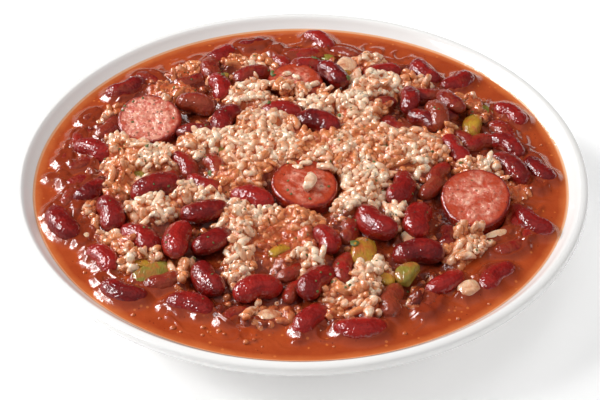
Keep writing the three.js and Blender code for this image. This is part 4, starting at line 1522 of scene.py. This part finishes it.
class PLATE_OT_garnish(bpy.types.Operator):
    """Strew parsley and ground pepper, and set bubbles in the gravy"""

    bl_idname = "plate.strew_garnish"
    bl_label = "Strew Garnish"

    def execute(self, context):
        surfaces = pieces_named("sauced_mound", "rice_grains", "gravy_ring")
        self.ground = tree_of(surfaces + pieces_named(*TOPPINGS))
        self.chance = np.random.default_rng(SEED + 2)
        leaf = crumb_material("parsley", colour("parsley"), paint(112, 116, 62), scale=500.0,
                              edge=0.2, roughness=0.45, lump=0.5, depth=0.15)
        flecks = PARSLEY + self.strewn(150, 88, 0.5, 1.3)
        self.finish("parsley_flecks", self.fleck, flecks, leaf, "rice", "vegetable")
        dust = crumb_material("ground_pepper", paint(42, 30, 20), paint(110, 58, 28), scale=900.0,
                              edge=0.2, roughness=0.5, lump=0.3, depth=0.1)
        specks = self.strewn(420, 95, 0.25, 0.6)
        self.finish("pepper_specks", self.speck, specks, dust, "rice", "vegetable")
        film = crumb_material("gravy_bubble", paint(176, 72, 32), paint(214, 122, 70), scale=600.0,
                              edge=0.25, roughness=0.08, lump=0.5, depth=0.05, coat=1.0)
        self.finish("gravy_bubbles", self.bubble, BUBBLES, film, "gravy", "gravy")
        return {"FINISHED"}

    def finish(self, name, shape, rows, material, node, slot):
        """One piece of all the shapes that find a place to lie: rows of (x, y, size)."""
        meshes = [mesh for mesh in (shape(*row) for row in rows) if mesh]
        finish_piece(name, meshes, material, [node])

    def strewn(self, count, reach, low, high):
        """Places spread evenly over a disc, each with a size between two others."""
        rows = []
        for _ in range(count):
            turn, out = self.chance.uniform(0, 2 * math.pi), reach * math.sqrt(self.chance.random())
            size = self.chance.uniform(low, high)
            rows.append((out * math.cos(turn), out * math.sin(turn), size))
        return rows

    def fleck(self, x, y, size):
        """A small torn leaf with a ragged outline that lies on what is under it."""
        place, normal = drop(self.ground, x, y)
        if place is None or place.z > TOP - 0.8:
            return None
        bm = bmesh.new()
        bmesh.ops.create_circle(bm, cap_ends=True, segments=9, radius=size / 2)
        for vert in bm.verts:
            vert.co *= self.chance.uniform(0.55, 1.15)
            vert.co.x *= 1.25
        bmesh.ops.poke(bm, faces=bm.faces)
        for vert in bm.verts:
            vert.co.z += self.chance.normal(0, 0.06) * size
        bmesh.ops.solidify(bm, geom=bm.faces, thickness=0.12)
        mesh = as_mesh(bm, "fleck")
        aim = normal.lerp(Vector((0, 0, 1)), 0.3).to_track_quat("Z", "X").to_matrix().to_4x4()
        spin = Matrix.Rotation(self.chance.uniform(0, 2 * math.pi), 4, "Z")
        mesh.transform(Matrix.Translation(place + normal * 0.15) @ aim @ spin)
        return mesh

    def speck(self, x, y, size):
        """An uneven grain of pepper."""
        place, normal = drop(self.ground, x, y)
        if place is None or place.z > TOP - 0.5:
            return None
        bm = bmesh.new()
        bmesh.ops.create_icosphere(bm, subdivisions=1, radius=size / 2)
        for vert in bm.verts:
            vert.co *= self.chance.uniform(0.7, 1.2)
        bmesh.ops.translate(bm, verts=bm.verts, vec=place + normal * 0.1)
        return as_mesh(bm, "speck")

    def bubble(self, x, y, diameter):
        """A slightly flat bubble that is half sunk."""
        place, _ = drop(self.ground, x, y)
        if place is None:
            return None
        bm = bmesh.new()
        bmesh.ops.create_uvsphere(bm, u_segments=16, v_segments=10, radius=diameter / 2)
        bmesh.ops.scale(bm, vec=(1, 1, 0.8), verts=bm.verts)
        bmesh.ops.translate(bm, verts=bm.verts, vec=place + Vector((0, 0, 0.05 * diameter)))
        return as_mesh(bm, "bubble")


STEPS = [
    PLATE_OT_stage, PLATE_OT_bowl, PLATE_OT_beans, PLATE_OT_sausage, PLATE_OT_vegetables,
    PLATE_OT_mound, PLATE_OT_gravy, PLATE_OT_rice, PLATE_OT_garnish,
]


class PLATE_PT_panel(bpy.types.Panel):
    """Sizes, colours and steps of the plated food"""

    bl_label = "Red Beans and Rice"
    bl_space_type = "VIEW_3D"
    bl_region_type = "UI"
    bl_category = "Plated Food"

    def draw(self, context):
        layout = self.layout
        for group in (context.scene.bowl_sizes, context.scene.food_colours):
            column = layout.column()
            for key in group.__annotations__:
                column.prop(group, key)
        for step in STEPS:
            layout.operator(step.bl_idname)


CLASSES = [BowlSizes, FoodColours, *STEPS, PLATE_PT_panel]


def register():
    for cls in CLASSES:
        bpy.utils.register_class(cls)
    bpy.types.Scene.bowl_sizes = PointerProperty(type=BowlSizes)
    bpy.types.Scene.food_colours = PointerProperty(type=FoodColours)


def unregister():
    del bpy.types.Scene.food_colours
    del bpy.types.Scene.bowl_sizes
    for cls in reversed(CLASSES):
        bpy.utils.unregister_class(cls)


def main():
    register()
    bpy.ops.plate.set_stage()
    bpy.ops.plate.make_bowl()
    bpy.ops.plate.lay_beans()
    bpy.ops.plate.lay_sausage()
    bpy.ops.plate.scatter_vegetables()
    bpy.ops.plate.shape_mound()
    bpy.ops.plate.pour_gravy()
    bpy.ops.plate.heap_rice()
    bpy.ops.plate.strew_garnish()


if __name__ == "__main__":
    main()
